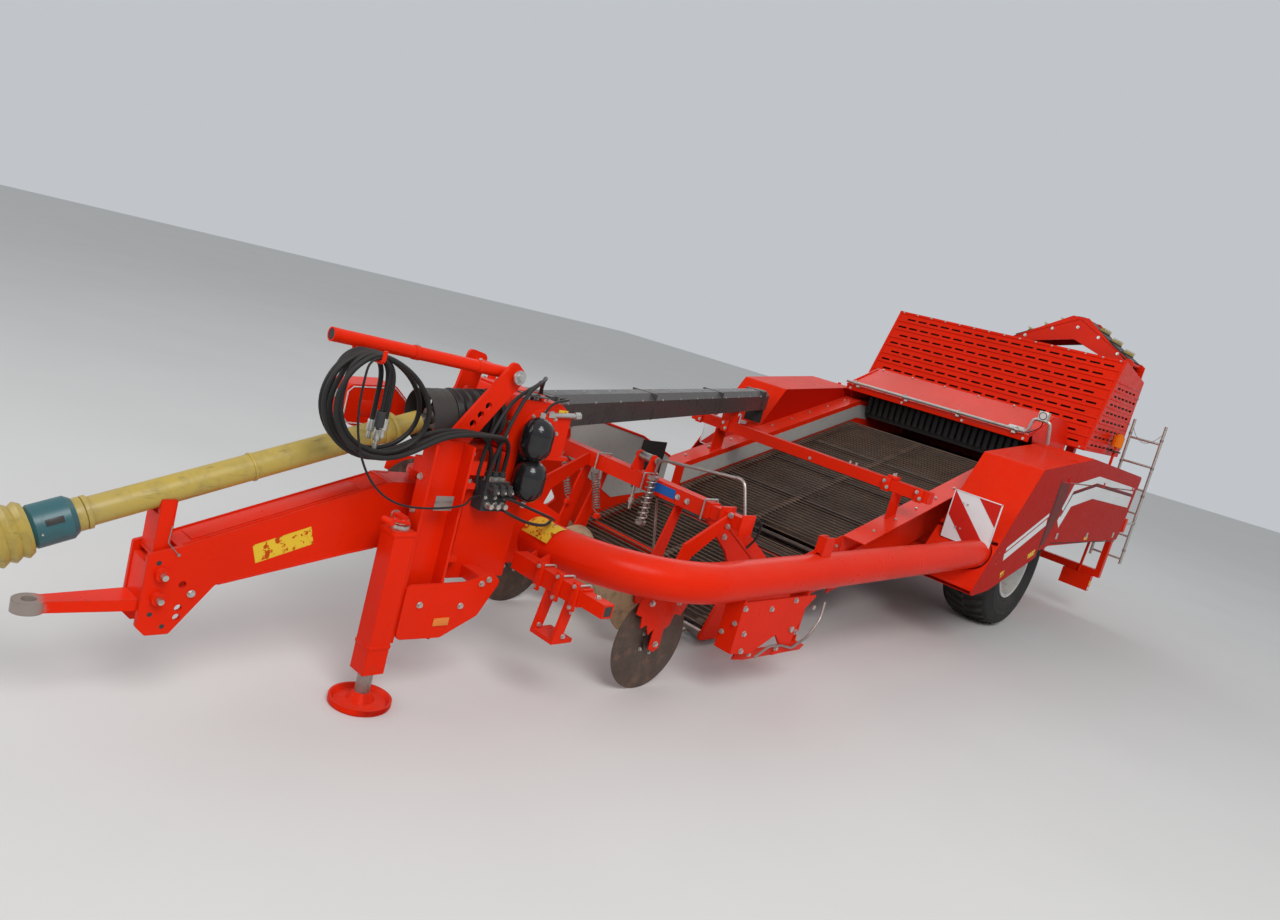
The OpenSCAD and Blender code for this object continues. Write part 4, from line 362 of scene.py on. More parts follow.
def make_stage():
    bm = bmesh.new()
    bmesh.ops.create_grid(bm, x_segments=1, y_segments=1, size=40)
    mesh = bpy.data.meshes.new("floor")
    bm.to_mesh(mesh)
    bm.free()
    floor = bpy.data.objects.new("floor", mesh)
    bpy.context.scene.collection.objects.link(floor)
    f = Finish("pale floor", rough=0.9)
    f.color(f.mix(f.noise(0.6, 4), (0.6, 0.59, 0.57), (0.66, 0.65, 0.63)))
    mesh.materials.append(f.material)


def area_light(name, place, target, size, power):
    data = bpy.data.lights.new(name, "AREA")
    data.shape = "DISK"
    data.size = size
    data.energy = power
    light = bpy.data.objects.new(name, data)
    bpy.context.scene.collection.objects.link(light)
    light.location = place
    light.rotation_euler = (Vector(target) - Vector(place)).to_track_quat("-Z", "Y").to_euler()


def make_world():
    world = bpy.data.worlds.new("studio")
    bpy.context.scene.world = world
    world.use_nodes = True
    background = world.node_tree.nodes["Background"]
    background.inputs["Color"].default_value = (0.86, 0.9, 0.95, 1)
    background.inputs["Strength"].default_value = 0.62
    bpy.context.scene.view_settings.view_transform = "Standard"


make_stage()
area_light("key", (-7, -9, 10), (-0.5, 0, 1), 7, 950)
area_light("fill", (-12, 3, 5), (-1, 0, 1), 6, 260)
area_light("back", (9, 6, 9), (2, 0, 1), 8, 200)
make_world()


# Cords, along the routes that the solids hold, in metres

HOSE_D = 0.022
CABLE_D = 0.01
STUB = 0.006
CORD_ROUTES = {
    "hose_1": [(-3.49, -0.89, 1.136), (-3.494, -0.891, 1.195), (-3.515, -0.894, 1.25),
        (-3.555, -0.897, 1.292), (-3.61, -0.9, 1.315), (-3.675, -0.903, 1.322), (-3.76, -0.904, 1.322),
        (-3.85, -0.904, 1.312), (-3.935, -0.904, 1.28), (-4.01, -0.904, 1.235), (-4.095, -0.904, 1.198),
        (-4.19, -0.904, 1.185), (-4.29, -0.904, 1.2), (-4.38, -0.904, 1.255), (-4.44, -0.904, 1.34),
        (-4.455, -0.904, 1.435), (-4.425, -0.904, 1.53), (-4.365, -0.904, 1.596),
        (-4.29, -0.903, 1.629), (-4.2, -0.9, 1.615), (-4.1, -0.896, 1.575), (-4.01, -0.89, 1.505),
        (-3.955, -0.884, 1.415), (-3.955, -0.88, 1.32), (-4.02, -0.88, 1.24), (-4.12, -0.88, 1.198),
        (-4.23, -0.88, 1.205), (-4.33, -0.88, 1.25), (-4.385, -0.88, 1.322), (-4.404, -0.88, 1.39),
        (-4.405, -0.88, 1.455), (-4.399, -0.88, 1.517), (-4.384, -0.88, 1.572), (-4.345, -0.88, 1.611),
        (-4.29, -0.88, 1.626), (-4.235, -0.88, 1.611), (-4.196, -0.88, 1.572), (-4.182, -0.88, 1.517),
        (-4.181, -0.88, 1.455), (-4.181, -0.88, 1.395), (-4.181, -0.88, 1.336)],
    "hose_2": [(-3.445, -0.89, 1.136), (-3.448, -0.893, 1.195), (-3.465, -0.905, 1.252),
        (-3.502, -0.922, 1.294), (-3.555, -0.938, 1.318), (-3.62, -0.948, 1.326),
        (-3.71, -0.952, 1.328), (-3.81, -0.952, 1.32), (-3.905, -0.952, 1.29), (-3.99, -0.952, 1.24),
        (-4.08, -0.952, 1.195), (-4.18, -0.952, 1.175), (-4.285, -0.952, 1.188),
        (-4.385, -0.952, 1.245), (-4.45, -0.952, 1.335), (-4.47, -0.952, 1.435), (-4.44, -0.952, 1.535),
        (-4.375, -0.952, 1.6), (-4.29, -0.951, 1.629), (-4.195, -0.948, 1.612), (-4.09, -0.944, 1.57),
        (-3.995, -0.938, 1.5), (-3.935, -0.932, 1.41), (-3.935, -0.928, 1.31), (-4.005, -0.928, 1.225),
        (-4.11, -0.928, 1.182), (-4.225, -0.928, 1.188), (-4.335, -0.928, 1.24),
        (-4.402, -0.928, 1.315), (-4.424, -0.928, 1.39), (-4.416, -0.928, 1.458),
        (-4.394, -0.928, 1.517), (-4.379, -0.928, 1.572), (-4.34, -0.928, 1.611),
        (-4.285, -0.928, 1.626), (-4.23, -0.928, 1.611), (-4.191, -0.928, 1.572),
        (-4.177, -0.928, 1.517), (-4.174, -0.928, 1.448), (-4.173, -0.928, 1.377),
        (-4.173, -0.928, 1.306)],
    "hose_3": [(-3.4, -0.89, 1.136), (-3.403, -0.895, 1.192), (-3.418, -0.912, 1.248),
        (-3.452, -0.936, 1.292), (-3.502, -0.96, 1.318), (-3.565, -0.982, 1.328),
        (-3.64, -0.996, 1.332), (-3.735, -1, 1.33), (-3.835, -1, 1.318), (-3.925, -1, 1.285),
        (-4.005, -1, 1.238), (-4.09, -1, 1.2), (-4.185, -1, 1.188), (-4.28, -1, 1.205),
        (-4.365, -1, 1.258), (-4.425, -1, 1.34), (-4.44, -1, 1.43), (-4.415, -1, 1.522),
        (-4.36, -1, 1.592), (-4.29, -0.999, 1.631), (-4.205, -0.996, 1.612), (-4.11, -0.992, 1.572),
        (-4.025, -0.986, 1.505), (-3.97, -0.98, 1.42), (-3.965, -0.976, 1.325), (-4.025, -0.976, 1.25),
        (-4.12, -0.976, 1.208), (-4.225, -0.976, 1.212), (-4.315, -0.976, 1.25),
        (-4.376, -0.976, 1.318), (-4.402, -0.976, 1.39), (-4.404, -0.976, 1.455),
        (-4.399, -0.976, 1.517), (-4.384, -0.976, 1.572), (-4.345, -0.976, 1.611),
        (-4.29, -0.976, 1.626), (-4.235, -0.976, 1.611), (-4.196, -0.976, 1.572),
        (-4.182, -0.976, 1.517), (-4.181, -0.976, 1.465), (-4.181, -0.976, 1.415),
        (-4.181, -0.976, 1.366)],
    "cable_1": [(-3.526, -0.91, 1.01), (-3.56, -0.914, 1.009), (-3.592, -0.93, 1.006),
        (-3.62, -0.955, 1.003), (-3.65, -0.985, 1), (-3.69, -1.012, 0.996), (-3.74, -1.026, 0.992),
        (-3.8, -1.033, 0.988), (-3.87, -1.036, 0.985), (-3.94, -1.037, 0.985), (-4.01, -1.037, 0.99),
        (-4.08, -1.036, 1.005), (-4.145, -1.035, 1.035), (-4.205, -1.033, 1.08), (-4.255, -1.031, 1.14),
        (-4.295, -1.029, 1.21), (-4.325, -1.027, 1.29), (-4.342, -1.025, 1.37), (-4.347, -1.023, 1.44),
        (-4.347, -1.022, 1.505), (-4.345, -1.02, 1.563), (-4.338, -1.02, 1.59), (-4.318, -1.02, 1.611),
        (-4.29, -1.02, 1.618), (-4.262, -1.02, 1.611), (-4.242, -1.02, 1.59), (-4.235, -1.02, 1.563),
        (-4.235, -1.02, 1.51), (-4.235, -1.02, 1.457), (-4.235, -1.02, 1.406)],
}

# Name, diameter, curve steps from point to point, real length and far end of each cord
CORDS = [
    ("hose_1", HOSE_D, 4, 3.222, "plug"),
    ("hose_2", HOSE_D, 4, 3.416, "plug"),
    ("hose_3", HOSE_D, 4, 3.241, "plug"),
    ("cable_1", CABLE_D, 6, 1.59, "connector"),
]


def eased_point(a, b, c, d, t):
    near = a * (1 - t) ** 3 + b * (3 * t**3 - 6 * t * t + 4)
    return (near + c * (3 * t * (1 + t - t * t) + 1) + d * t**3) / 6


def eased(points, steps):
    """The same gentle curve through a route as the solids follow."""
    p = [Vector(q) for q in points]
    q = [2 * p[0] - p[1]] + p + [2 * p[-1] - p[-2]]
    out = []
    for i in range(len(p) - 1):
        out += [eased_point(*q[i:i + 4], k / steps) for k in range(steps)]
    return out + [p[-1]]


def tube_curve(name, points, diameter, finish):
    """A round tube along points, as a curve of one open spline."""
    curve = bpy.data.curves.new(name, "CURVE")
    curve.dimensions = "3D"
    curve.bevel_depth = diameter / 2
    curve.bevel_resolution = 3
    curve.use_fill_caps = True
    line = curve.splines.new("POLY")
    line.points.add(len(points) - 1)
    for knot, place in zip(line.points, points):
        knot.co = (*place, 1)
    curve.materials.append(finishes[finish])
    piece = bpy.data.objects.new(name, curve)
    bpy.context.scene.collection.objects.link(piece)
    return piece


# Small pieces, gathered by body and finish into one mesh each

X, Y, Z = Vector((1, 0, 0)), Vector((0, 1, 0)), Vector((0, 0, 1))
KITS = {}


def toward(place, direction, up=Z):
    """A matrix at a place whose Z runs along a direction and whose X is level where it can be."""
    z = Vector(direction).normalized()
    if abs(z.dot(up)) > 0.95:
        up = X
    x = up.cross(z).normalized()
    turn = Matrix((x, z.cross(x), z)).transposed().to_4x4()
    turn.translation = Vector(place)
    return turn


class Kit:
    """The small pieces of one finish on one body."""

    def __init__(self, name, body, finish):
        self.name, self.body, self.finish = name, body, finish
        self.shapes = bmesh.new()
        self.stands_for = ()
        KITS[name] = self

    def add(self, part, place=None, soft=0.0):
        """Takes in a part, with its edges rounded by soft and moved to its place."""
        if soft:
            edges = [e for e in part.edges if len(e.link_faces) == 2 and e.calc_face_angle() > 0.5]
            bmesh.ops.bevel(part, geom=edges, offset=soft, segments=2, profile=0.5,
                            affect="EDGES", material=-1, clamp_overlap=True)
        mesh = bpy.data.meshes.new("part")
        part.to_mesh(mesh)
        part.free()
        self.stamp(mesh, place)
        bpy.data.meshes.remove(mesh)

    def stamp(self, mesh, place=None):
        copy = mesh.copy()
        if place:
            copy.transform(place)
        self.shapes.from_mesh(copy)
        bpy.data.meshes.remove(copy)

    def block(self, low, high, soft=0.002, place=None):
        low, high = Vector(low), Vector(high)
        part = bmesh.new()
        bmesh.ops.create_cube(part, size=1, matrix=Matrix.Translation((low + high) / 2)
                              @ Matrix.Diagonal((*(high - low), 1)))
        self.add(part, place, soft)

    def rod(self, a, b, d, sides=16, end=None, soft=0.0):
        a, b = Vector(a), Vector(b)
        part = bmesh.new()
        bmesh.ops.create_cone(part, cap_ends=True, segments=sides, radius1=d / 2,
                              radius2=(d if end is None else end) / 2, depth=(b - a).length)
        self.add(part, toward((a + b) / 2, b - a), soft)

    def turned(self, outline, place, direction, steps=24):
        """A turned piece; the outline holds radii and distances along the direction."""
        part = bmesh.new()
        knots = [part.verts.new((r, 0, h)) for r, h in outline]
        edges = [part.edges.new(pair) for pair in zip(knots, knots[1:])]
        bmesh.ops.spin(part, geom=knots + edges, cent=(0, 0, 0), axis=(0, 0, 1), angle=2 * pi,
                       steps=steps, use_merge=True, dvec=(0, 0, 0))
        bmesh.ops.remove_doubles(part, verts=part.verts, dist=0.00005)
        self.add(part, toward(place, direction))

    def plate(self, outline, thickness, place, soft=0.0):
        """A flat plate; its outline lies in the place's X and Y and its thickness along Z."""
        part = bmesh.new()
        face = part.faces.new([part.verts.new((x, y, 0)) for x, y in outline])
        grown = bmesh.ops.extrude_face_region(part, geom=[face])["geom"]
        top = [g for g in grown if isinstance(g, bmesh.types.BMVert)]
        bmesh.ops.translate(part, vec=(0, 0, thickness), verts=top)
        self.add(part, place, soft)

    def pipe(self, points, d, sides=8, bend=0.0):
        """A tube of bmesh rings swept along points, its corners rounded by bend."""
        path = [Vector(p) for p in points]
        if bend:
            soft = [path[0]]
            for a, p, c in zip(path, path[1:], path[2:]):
                r = min(bend, (a - p).length * 0.45, (c - p).length * 0.45)
                a, c = p + (a - p).normalized() * r, p + (c - p).normalized() * r
                soft += [a.lerp(p, k / 4).lerp(p.lerp(c, k / 4), k / 4) for k in range(5)]
            path = soft + [path[-1]]
        part = bmesh.new()
        start = bmesh.ops.create_circle(part, cap_ends=True, segments=sides, radius=d / 2,
                                        matrix=toward(path[0], path[1] - path[0]))["verts"]
        ring, last = start[0].link_faces[0], path[0]
        heading = (path[1] - path[0]).normalized()
        for i in range(1, len(path)):
            ahead = (path[min(i + 1, len(path) - 1)] - path[i - 1]).normalized()
            grown = bmesh.ops.extrude_discrete_faces(part, faces=[ring])["faces"][0]
            turn = heading.rotation_difference(ahead).to_matrix()
            middle = sum((v.co for v in grown.verts), Vector()) / len(grown.verts)
            for v in grown.verts:
                v.co = path[i] + turn @ (v.co - middle)
            ring, heading = grown, ahead
        part.faces.new(start)
        self.add(part)

    def sheet(self, rails, thickness):
        """A thin sheet stretched over pairs of points."""
        part = bmesh.new()
        rows = [[part.verts.new(p) for p in pair] for pair in rails]
        for (a, b), (c, d) in zip(rows, rows[1:]):
            part.faces.new((a, c, d, b))
        bmesh.ops.solidify(part, geom=part.faces[:], thickness=thickness)
        self.add(part)

    def stud(self, place, step, d, sides=6, soft=0.0):
        """A nut, stud or cap that stands off a place by a step."""
        self.rod(place, Vector(place) + step, d, sides, soft=soft)

    def bolt(self, place, direction, size=0.012):
        """A hexagon bolt head on its washer."""
        place, direction = Vector(place), Vector(direction).normalized()
        washer = size * 0.2
        self.stud(place, direction * washer, size * 2.3, 16)
        foot = place + direction * washer
        self.rod(foot, foot + direction * (size * 0.7), size * 1.8, 6, size * 1.7)

    def bolts(self, places, direction, size=0.012):
        for place in places:
            self.bolt(place, direction, size)

    def done(self):
        bmesh.ops.recalc_face_normals(self.shapes, faces=self.shapes.faces)
        mesh = bpy.data.meshes.new(self.name)
        self.shapes.to_mesh(mesh)
        self.shapes.free()
        mesh.shade_smooth()
        mesh.set_sharp_from_angle(angle=radians(35))
        mesh.materials.append(finishes[self.finish])
        piece = bpy.data.objects.new(self.name, mesh)
        bpy.context.scene.collection.objects.link(piece)
        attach(piece, self.body)
        if self.stands_for:
            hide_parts(*self.stands_for)
        return piece


def kit(name, body="chassis", finish="zinc"):
    return KITS.get(name) or Kit(name, body, finish)


def finish_kits():
    return {name: each.done() for name, each in KITS.items()}


def row(a, b, count):
    a, b = Vector(a), Vector(b)
    return [a.lerp(b, i / (count - 1)) for i in range(count)]


def circle(centre, radius, count, first=0.0, across=X, along=Z):
    """Places evenly spaced round a circle; first moves them on by that share of a step."""
    turns = [2 * pi * (i + first) / count for i in range(count)]
    return [Vector(centre) + radius * (across * cos(t) + along * sin(t)) for t in turns]


def lifted(s, y, thickness):
    """Where a plate of that thickness starts so that it lies outside a face on either side."""
    return s * y + (0 if s < 0 else thickness)


# Wheels: tyres with lugs, wheel bolts and hub caps

AXLE_X, TRACK, TYRE_R = 2.8, 1.175, 0.62
SIDES = {"left": -1, "right": 1}
# Radius and distance from the tyre's middle plane, from bead to bead
CARCASS = [
    (0.2905, -0.2055), (0.312, -0.209), (0.335, -0.216), (0.338, -0.221), (0.345, -0.219), (0.385, -0.234),
    (0.44, -0.242), (0.47, -0.2425), (0.474, -0.2445), (0.482, -0.2445), (0.486, -0.242), (0.54, -0.237),
    (0.572, -0.227), (0.588, -0.208), (0.596, -0.175), (0.601, -0.09), (0.602, 0.0),
]
LUG_COUNT = 34


def tyre_lug():
    """One tread bar: straight over the crown, raked back and wrapped down over the shoulder."""
    part = bmesh.new()
    bmesh.ops.create_cube(part, size=1, matrix=Matrix.Diagonal((0.052, 0.225, 0.03, 1)))
    long_edges = [e for e in part.edges if abs(e.verts[0].co.y - e.verts[1].co.y) > 0.1]
    bmesh.ops.subdivide_edges(part, edges=long_edges, cuts=4, use_grid_fill=True)
    for v in part.verts:
        out = v.co.y + 0.1125
        if v.co.z > 0:
            v.co.x *= 0.78
        v.co.x += 0.42 * max(0.0, out - 0.03)
        v.co.z += 0.6045 - 0.9 * max(0.0, out - 0.165) ** 1.25 * 2.6
        v.co.y = out - 0.004
    bmesh.ops.bevel(part, geom=part.edges[:], offset=0.004, segments=1, profile=0.5, affect="EDGES",
                    material=-1)
    return part


# The lugs' corners stay on the tyre's rolling circle
LUG_FIT = 0.996


def dress_wheels():
    lug = bpy.data.meshes.new("lug")
    part = tyre_lug()
    part.to_mesh(lug)
    part.free()
    for side, s in SIDES.items():
        body = "wheel_" + side
        hub = Vector((AXLE_X, s * TRACK, TYRE_R))
        tyre = kit("tyre_" + side + "_tread", body, "tyre_rubber")
        tyre.stands_for = ("tyre_" + side,)
        tyre.turned(CARCASS + [(r, -h) for r, h in reversed(CARCASS[:-1])], hub, Y, 96)
        for i in range(LUG_COUNT):
            for half in (0, 1):
                turn = Matrix.Rotation(2 * pi * (i + half / 2) / LUG_COUNT, 4, "Y")
                flip = Matrix.Diagonal((1, -1 if half else 1, 1, 1))
                tyre.stamp(lug, Matrix.Translation(hub) @ turn @ flip @ Matrix.Scale(LUG_FIT, 4))
        face = hub + s * Y * 0.076
        nuts = kit("wheel_nuts_" + side, body, "zinc")
        nuts.bolts(circle(face, 0.112, 10, 0.5), s * Y, 0.02)
        cap = kit("hub_cap_" + side, body, "frame_grey")
        dome = [(0.0, 0.03), (0.036, 0.03), (0.044, 0.022), (0.046, 0.0), (0.0, 0.0)]
        cap.turned(dome, hub + s * Y * 0.08, s * Y, 32)
        cap.bolts(circle(face - s * Y * 0.006, 0.058, 6), s * Y, 0.009)
        nuts.rod(hub + Vector((0.255, s * 0.1, 0)), hub + Vector((0.245, s * 0.15, 0)), 0.011, 8)


# Warning boards with diagonal stripes, on light frames

BOARD_X, BOARD_Y, BOARD_Z, BOARD_SIDE = 1.334, 1.6, 0.88, 0.423
STRIPE_W = 0.1495
# The left board's lower outer corner is hidden by the main tube, so its rim stops at these places
RIM_STOP_Y, RIM_STOP_Z = -1.36, 0.975


def board_stripes(s):
    """The diagonal bands of one board, cut from its square by planes."""
    stripes = kit("board_stripes", "chassis", "stripe_red")
    y0 = s * (BOARD_Y - BOARD_SIDE / 2)
    middle = Vector((BOARD_X - 0.0015, y0, BOARD_Z + BOARD_SIDE / 2))
    across = Vector((0, s, 1)).normalized()
    square = Matrix.Translation(middle) @ Matrix.Diagonal((0.002, 0.415, 0.415, 1))
    for k in (-0.25, 0.75):
        part = bmesh.new()
        bmesh.ops.create_cube(part, size=1, matrix=square)
        for sign in (-1, 1):
            edge = middle + across * (k * 2 * STRIPE_W + sign * STRIPE_W / 2)
            geom = part.verts[:] + part.edges[:] + part.faces[:]
            cut = bmesh.ops.bisect_plane(part, geom=geom, plane_co=edge, plane_no=across * sign,
                                         clear_outer=True)
            bmesh.ops.holes_fill(part, edges=[g for g in cut["geom_cut"] if isinstance(g,
                                                                                       bmesh.types.BMEdge)])
        stripes.add(part)


def dress_boards():
    rim = kit("board_frames", "chassis", "board_white")
    steel = kit("board_fixings")
    for s in (-1, 1):
        board_stripes(s)
        y_in, y_out = sorted((s * BOARD_Y, s * (BOARD_Y - BOARD_SIDE)))
        for z in (BOARD_Z, BOARD_Z + BOARD_SIDE - 0.008):
            low = z == BOARD_Z and s < 0
            rim.block((BOARD_X - 0.004, y_in if not low else RIM_STOP_Y, z), (BOARD_X, y_out, z + 0.008),
                      0.001)
        for y in (y_in, y_out - 0.008):
            low = BOARD_Z if not (s < 0 and y < -1.5) else RIM_STOP_Z
            rim.block((BOARD_X - 0.004, y, low), (BOARD_X, y + 0.008, BOARD_Z + BOARD_SIDE), 0.001)
        for z in (BOARD_Z + 0.115, BOARD_Z + BOARD_SIDE - 0.095):
            steel.bolts([(BOARD_X - 0.002, s * 1.28, z), (BOARD_X - 0.002, s * 1.32, z)], -X, 0.008)


# Covers: stripes, pillar plates, latches, rivets, reflectors and seams

COVER_Y = 1.65
# Stripes on the covers' faces: points in X and Z along their middle lines, and their width
COVER_STRIPES = [
    ([(1.6, 0.925), (2.38, 1.248)], 0.034), ([(1.6, 0.855), (2.38, 1.178)], 0.066),
    ([(2.7, 1.3), (2.815, 1.52), (3.475, 1.628), (4.88, 1.556)], 0.07),
    ([(2.71, 1.16), (2.88, 1.395), (3.495, 1.494), (4.88, 1.424)], 0.125),
]
THIN_STRIPE = [(2.705, 1.235), (2.845, 1.464), (3.48, 1.573), (4.88, 1.502)]
DOOR_EDGE, DOOR_TOP = 2.4225, 1.56


def flat_band(name, finish, points, width, s, lift):
    """A thin band on a cover's face, mitred from point to point and parted where the door's edges run."""
    front = [((DOOR_EDGE - 0.006, 0, 0), X)]
    top = [((DOOR_EDGE + 0.006, 0, 0), -X), ((0, 0, DOOR_TOP + 0.006), -Z)]
    door = [((DOOR_EDGE + 0.006, 0, 0), -X), ((0, 0, DOOR_TOP - 0.004), Z)]
    for panel, cuts in (("chassis", front), ("chassis", top),
                        ("door_" + ("left" if s < 0 else "right"), door)):
        part = bmesh.new()
        line = [Vector((x, s * (COVER_Y + lift), z)) for x, z in points]
        rails = []
        for i, p in enumerate(line):
            before = (p - line[i - 1]).normalized() if i else (line[1] - p).normalized()
            after = (line[i + 1] - p).normalized() if i + 1 < len(line) else before
            side = (before + after).normalized().cross(Y)
            side *= width / 2 / max(0.4, side.dot(before.cross(Y)))
            rails.append((part.verts.new(p - side), part.verts.new(p + side)))
        for (a, b), (c, d) in zip(rails, rails[1:]):
            part.faces.new((a, b, d, c))
        for place, way in cuts:
            geom = part.verts[:] + part.edges[:] + part.faces[:]
            bmesh.ops.bisect_plane(part, geom=geom, plane_co=place, plane_no=way, clear_outer=True)
        if part.faces:
            bmesh.ops.solidify(part, geom=part.faces[:], thickness=0.0012)
            kit(name + "_" + panel, panel, finish).add(part)
        else:
            part.free()


def on_side(y):
    """Plates laid in X and Z at that Y, growing towards the left."""
    return Matrix(((1, 0, 0, 0), (0, 0, -1, y), (0, 1, 0, 0), (0, 0, 0, 1)))


def dress_covers():
    for side, s in SIDES.items():
        door = "door_" + side
        for points, width in COVER_STRIPES:
            flat_band("cover_stripes", "stripe_white", points, width, s, 0.001)
        flat_band("thin_stripe", "stripe_maroon", THIN_STRIPE, 0.022, s, 0.0012)
        pillar = kit("door_pillar_" + side, door, "pillar_red")
        pillar.plate([(2.438, 0.955), (2.52, 0.955), (2.665, 1.29), (2.69, 1.55), (2.438, 1.55)], 0.001,
                     on_side(lifted(s, COVER_Y, 0.001)))
        face = s * COVER_Y
        trim = kit("door_edge_" + side, door, "black_rubber")
        low, high = sorted((face, face + s * 0.0024))
        trim.block((2.424, low, 0.93), (2.432, high, 1.555), 0.0005)
        trim.block((2.7, low, 0.966), (4.86, high, 0.975), 0.0005)
        latches = kit("door_latches_" + side, door, "zinc")
        for x in (2.8, 3.75, 4.7):
            low, high = sorted((face, face + s * 0.005))
            latches.block((x - 0.025, low, 1.012), (x + 0.025, high, 1.072), 0.0015)
            latches.rod((x, face, 1.042), (x, face + s * 0.0054, 1.042), 0.022, 20)
        rivets = kit("cover_rivets", "chassis", "paint_dark_red")
        for x in [1.3 + 0.12 * i for i in range(9)]:
            z = max(0.6, 0.56 + (x - 1.5) * 0.298)
            rivets.rod((x, face, z + 0.03), (x, face + s * 0.0022, z + 0.03), 0.012, 12, 0.007)
        lens = kit("cover_reflectors", "chassis", "label_yellow")
        tilt = Matrix.Rotation(-0.3, 4, "Y")
        for x, z, half in ((2.27, 0.87, 0.075), (1.7, 0.7, 0.04)):
            place = Matrix.Translation((x, face, z)) @ tilt
            lens.block((-half, -0.0022, -0.026), (half, 0.0022, 0.026), 0.001, place)
        tags = kit("door_tags_" + side, door, "label_yellow")
        tags.block((3.695, face - 0.0022, 0.992), (3.805, face + 0.0022, 1.028), 0.001)
        seams = kit("cover_seams", "chassis", "black_rubber")
        low, high = sorted((face, face + s * 0.0015))
        seams.block((2.409, low, 0.86), (2.417, high, 1.6), 0.0)
        seams.block((2.424, low, 1.5605), (4.97, high, 1.5635), 0.0)


# Drawbar and tow eye

def dress_drawbar():
    beam = Vector((0.9, 0, 0.307)).normalized()
    square = beam.cross(Y)
    place = Matrix((beam, -Y, square if square.z > 0 else -square)).transposed().to_4x4()
    place.translation = (-4.84, -0.7, 0.718)
    top = kit("drawbar_top", "drawbar", "paint_red")
    top.plate([(0.06, -0.055), (0.8, -0.055), (0.8, 0.055), (0.06, 0.055)], 0.004, place, 0.0015)
    for y in (-0.075, 0.071):
        top.block((0.02, y, -0.002), (0.92, y + 0.004, 0.006), 0.001, place)
    steel = kit("drawbar_bolts", "drawbar")
    # Black discs in the side plates' holes: painted shade seen through them
    holes = kit("drawbar_hole_shade", "drawbar", "black_rubber")
    for s in (-1, 1):
        for x, z in ((-4.905, 0.655), (-4.905, 0.44), (-4.85, 0.385)):
            holes.rod((x, -0.7 + s * 0.0895, z), (x, -0.7 + s * 0.0908, z), 0.02, 16)
        steel.bolt((-4.76, -0.7 + s * 0.09, 0.52), (0, s, 0), 0.014)
        for z in (0.51, 0.61):
            steel.rod((-4.89, -0.7 + s * 0.112, z), (-4.89, -0.7 + s * 0.14, z), 0.024, 16)
    label = kit("drawbar_label", "drawbar", "label_yellow")
    low = place.copy()
    low.translation = (-4.5, -0.79, 0.735)
    low.translation.z -= 0.085
    label.plate([(-0.02, 0.0), (0.24, 0.0), (0.24, 0.0008), (-0.02, 0.0008)], 0.085, low)
    weld = kit("drawbar_welds", "drawbar", "paint_red")
    for y in (-0.79, -0.61):
        weld.pipe([(-4.66, y, 0.557), (-4.09, y, 0.682), (-3.97, y, 0.705)], 0.01, 6)
    for y in (-0.76, -0.64):
        weld.rod((-4.868, y, 0.69), (-4.868, y, 0.9), 0.008, 6)
    stay = kit("shaft_rest_stay", "drawbar", "bare_steel")
    stay.pipe([(-4.872, -0.768, 0.8), (-4.885, -0.79, 0.74), (-4.84, -0.794, 0.69)], 0.005, 8)
    stay.bolt((-4.838, -0.788, 0.688), -Y, 0.008)


# Head: fittings on the tower, gearbox, valve block, arm, case, channel and jack

ARM_TIP, ARM_ROOT = Vector((-4.4, -0.8, 1.652)), Vector((-3.45, -0.8, 1.61))
PIN = Vector((-3.7, -0.7, 0))
JACK = Vector((-3.966, -0.95, 0))
LABEL_THICK = 0.0008
# Fixed hoses: width and points, arched over the gearbox and down the head
HEAD_HOSES = [
    (0.02, [(-3.5, -0.872, 0.99), (-3.56, -0.9, 1.1), (-3.53, -0.89, 1.3), (-3.42, -0.86, 1.48),
             (-3.24, -0.8, 1.57), (-3.05, -0.62, 1.56), (-2.92, -0.5, 1.46)]),
    (0.02, [(-3.46, -0.872, 0.99), (-3.52, -0.93, 1.12), (-3.48, -0.93, 1.32), (-3.36, -0.88, 1.52),
             (-3.18, -0.78, 1.6), (-3.0, -0.58, 1.57), (-2.9, -0.46, 1.45)]),
    (0.016, [(-3.42, -0.872, 1.0), (-3.4, -0.96, 1.02), (-3.26, -1.0, 0.98), (-3.1, -0.98, 0.93),
             (-2.98, -0.9, 0.885)]),
    (0.016, [(-3.4, -0.872, 0.97), (-3.36, -0.95, 0.94), (-3.24, -0.98, 0.9), (-3.1, -0.96, 0.88),
             (-2.96, -0.86, 0.875)]),
    (0.014, [(-3.28, -0.935, 1.42), (-3.2, -0.9, 1.5), (-3.05, -0.85, 1.53), (-2.96, -0.7, 1.5)]),
]


def smoothed(points, steps=5):
    """A flowing curve through points, for hoses that are held all the way."""
    p = [Vector(q) for q in points]
    last = len(p) - 1
    out = []
    for i in range(last):
        a, b, c, d = p[max(i - 1, 0)], p[i], p[i + 1], p[min(i + 2, last)]
        for t in [k / steps for k in range(steps)]:
            bend = (2 * a - 5 * b + 4 * c - d) * t * t + (3 * b - a - 3 * c + d) * t**3
            out.append((2 * b + (c - a) * t + bend) / 2)
    return out + [p[last]]


def hose_fitting(pieces, place, direction, d):
    """The nut and sleeve at a fixed hose's end."""
    pieces.stud(place, direction * 0.014, d * 1.7)
    pieces.stud(Vector(place) + direction * 0.014, direction * 0.03, d * 1.35, 16)


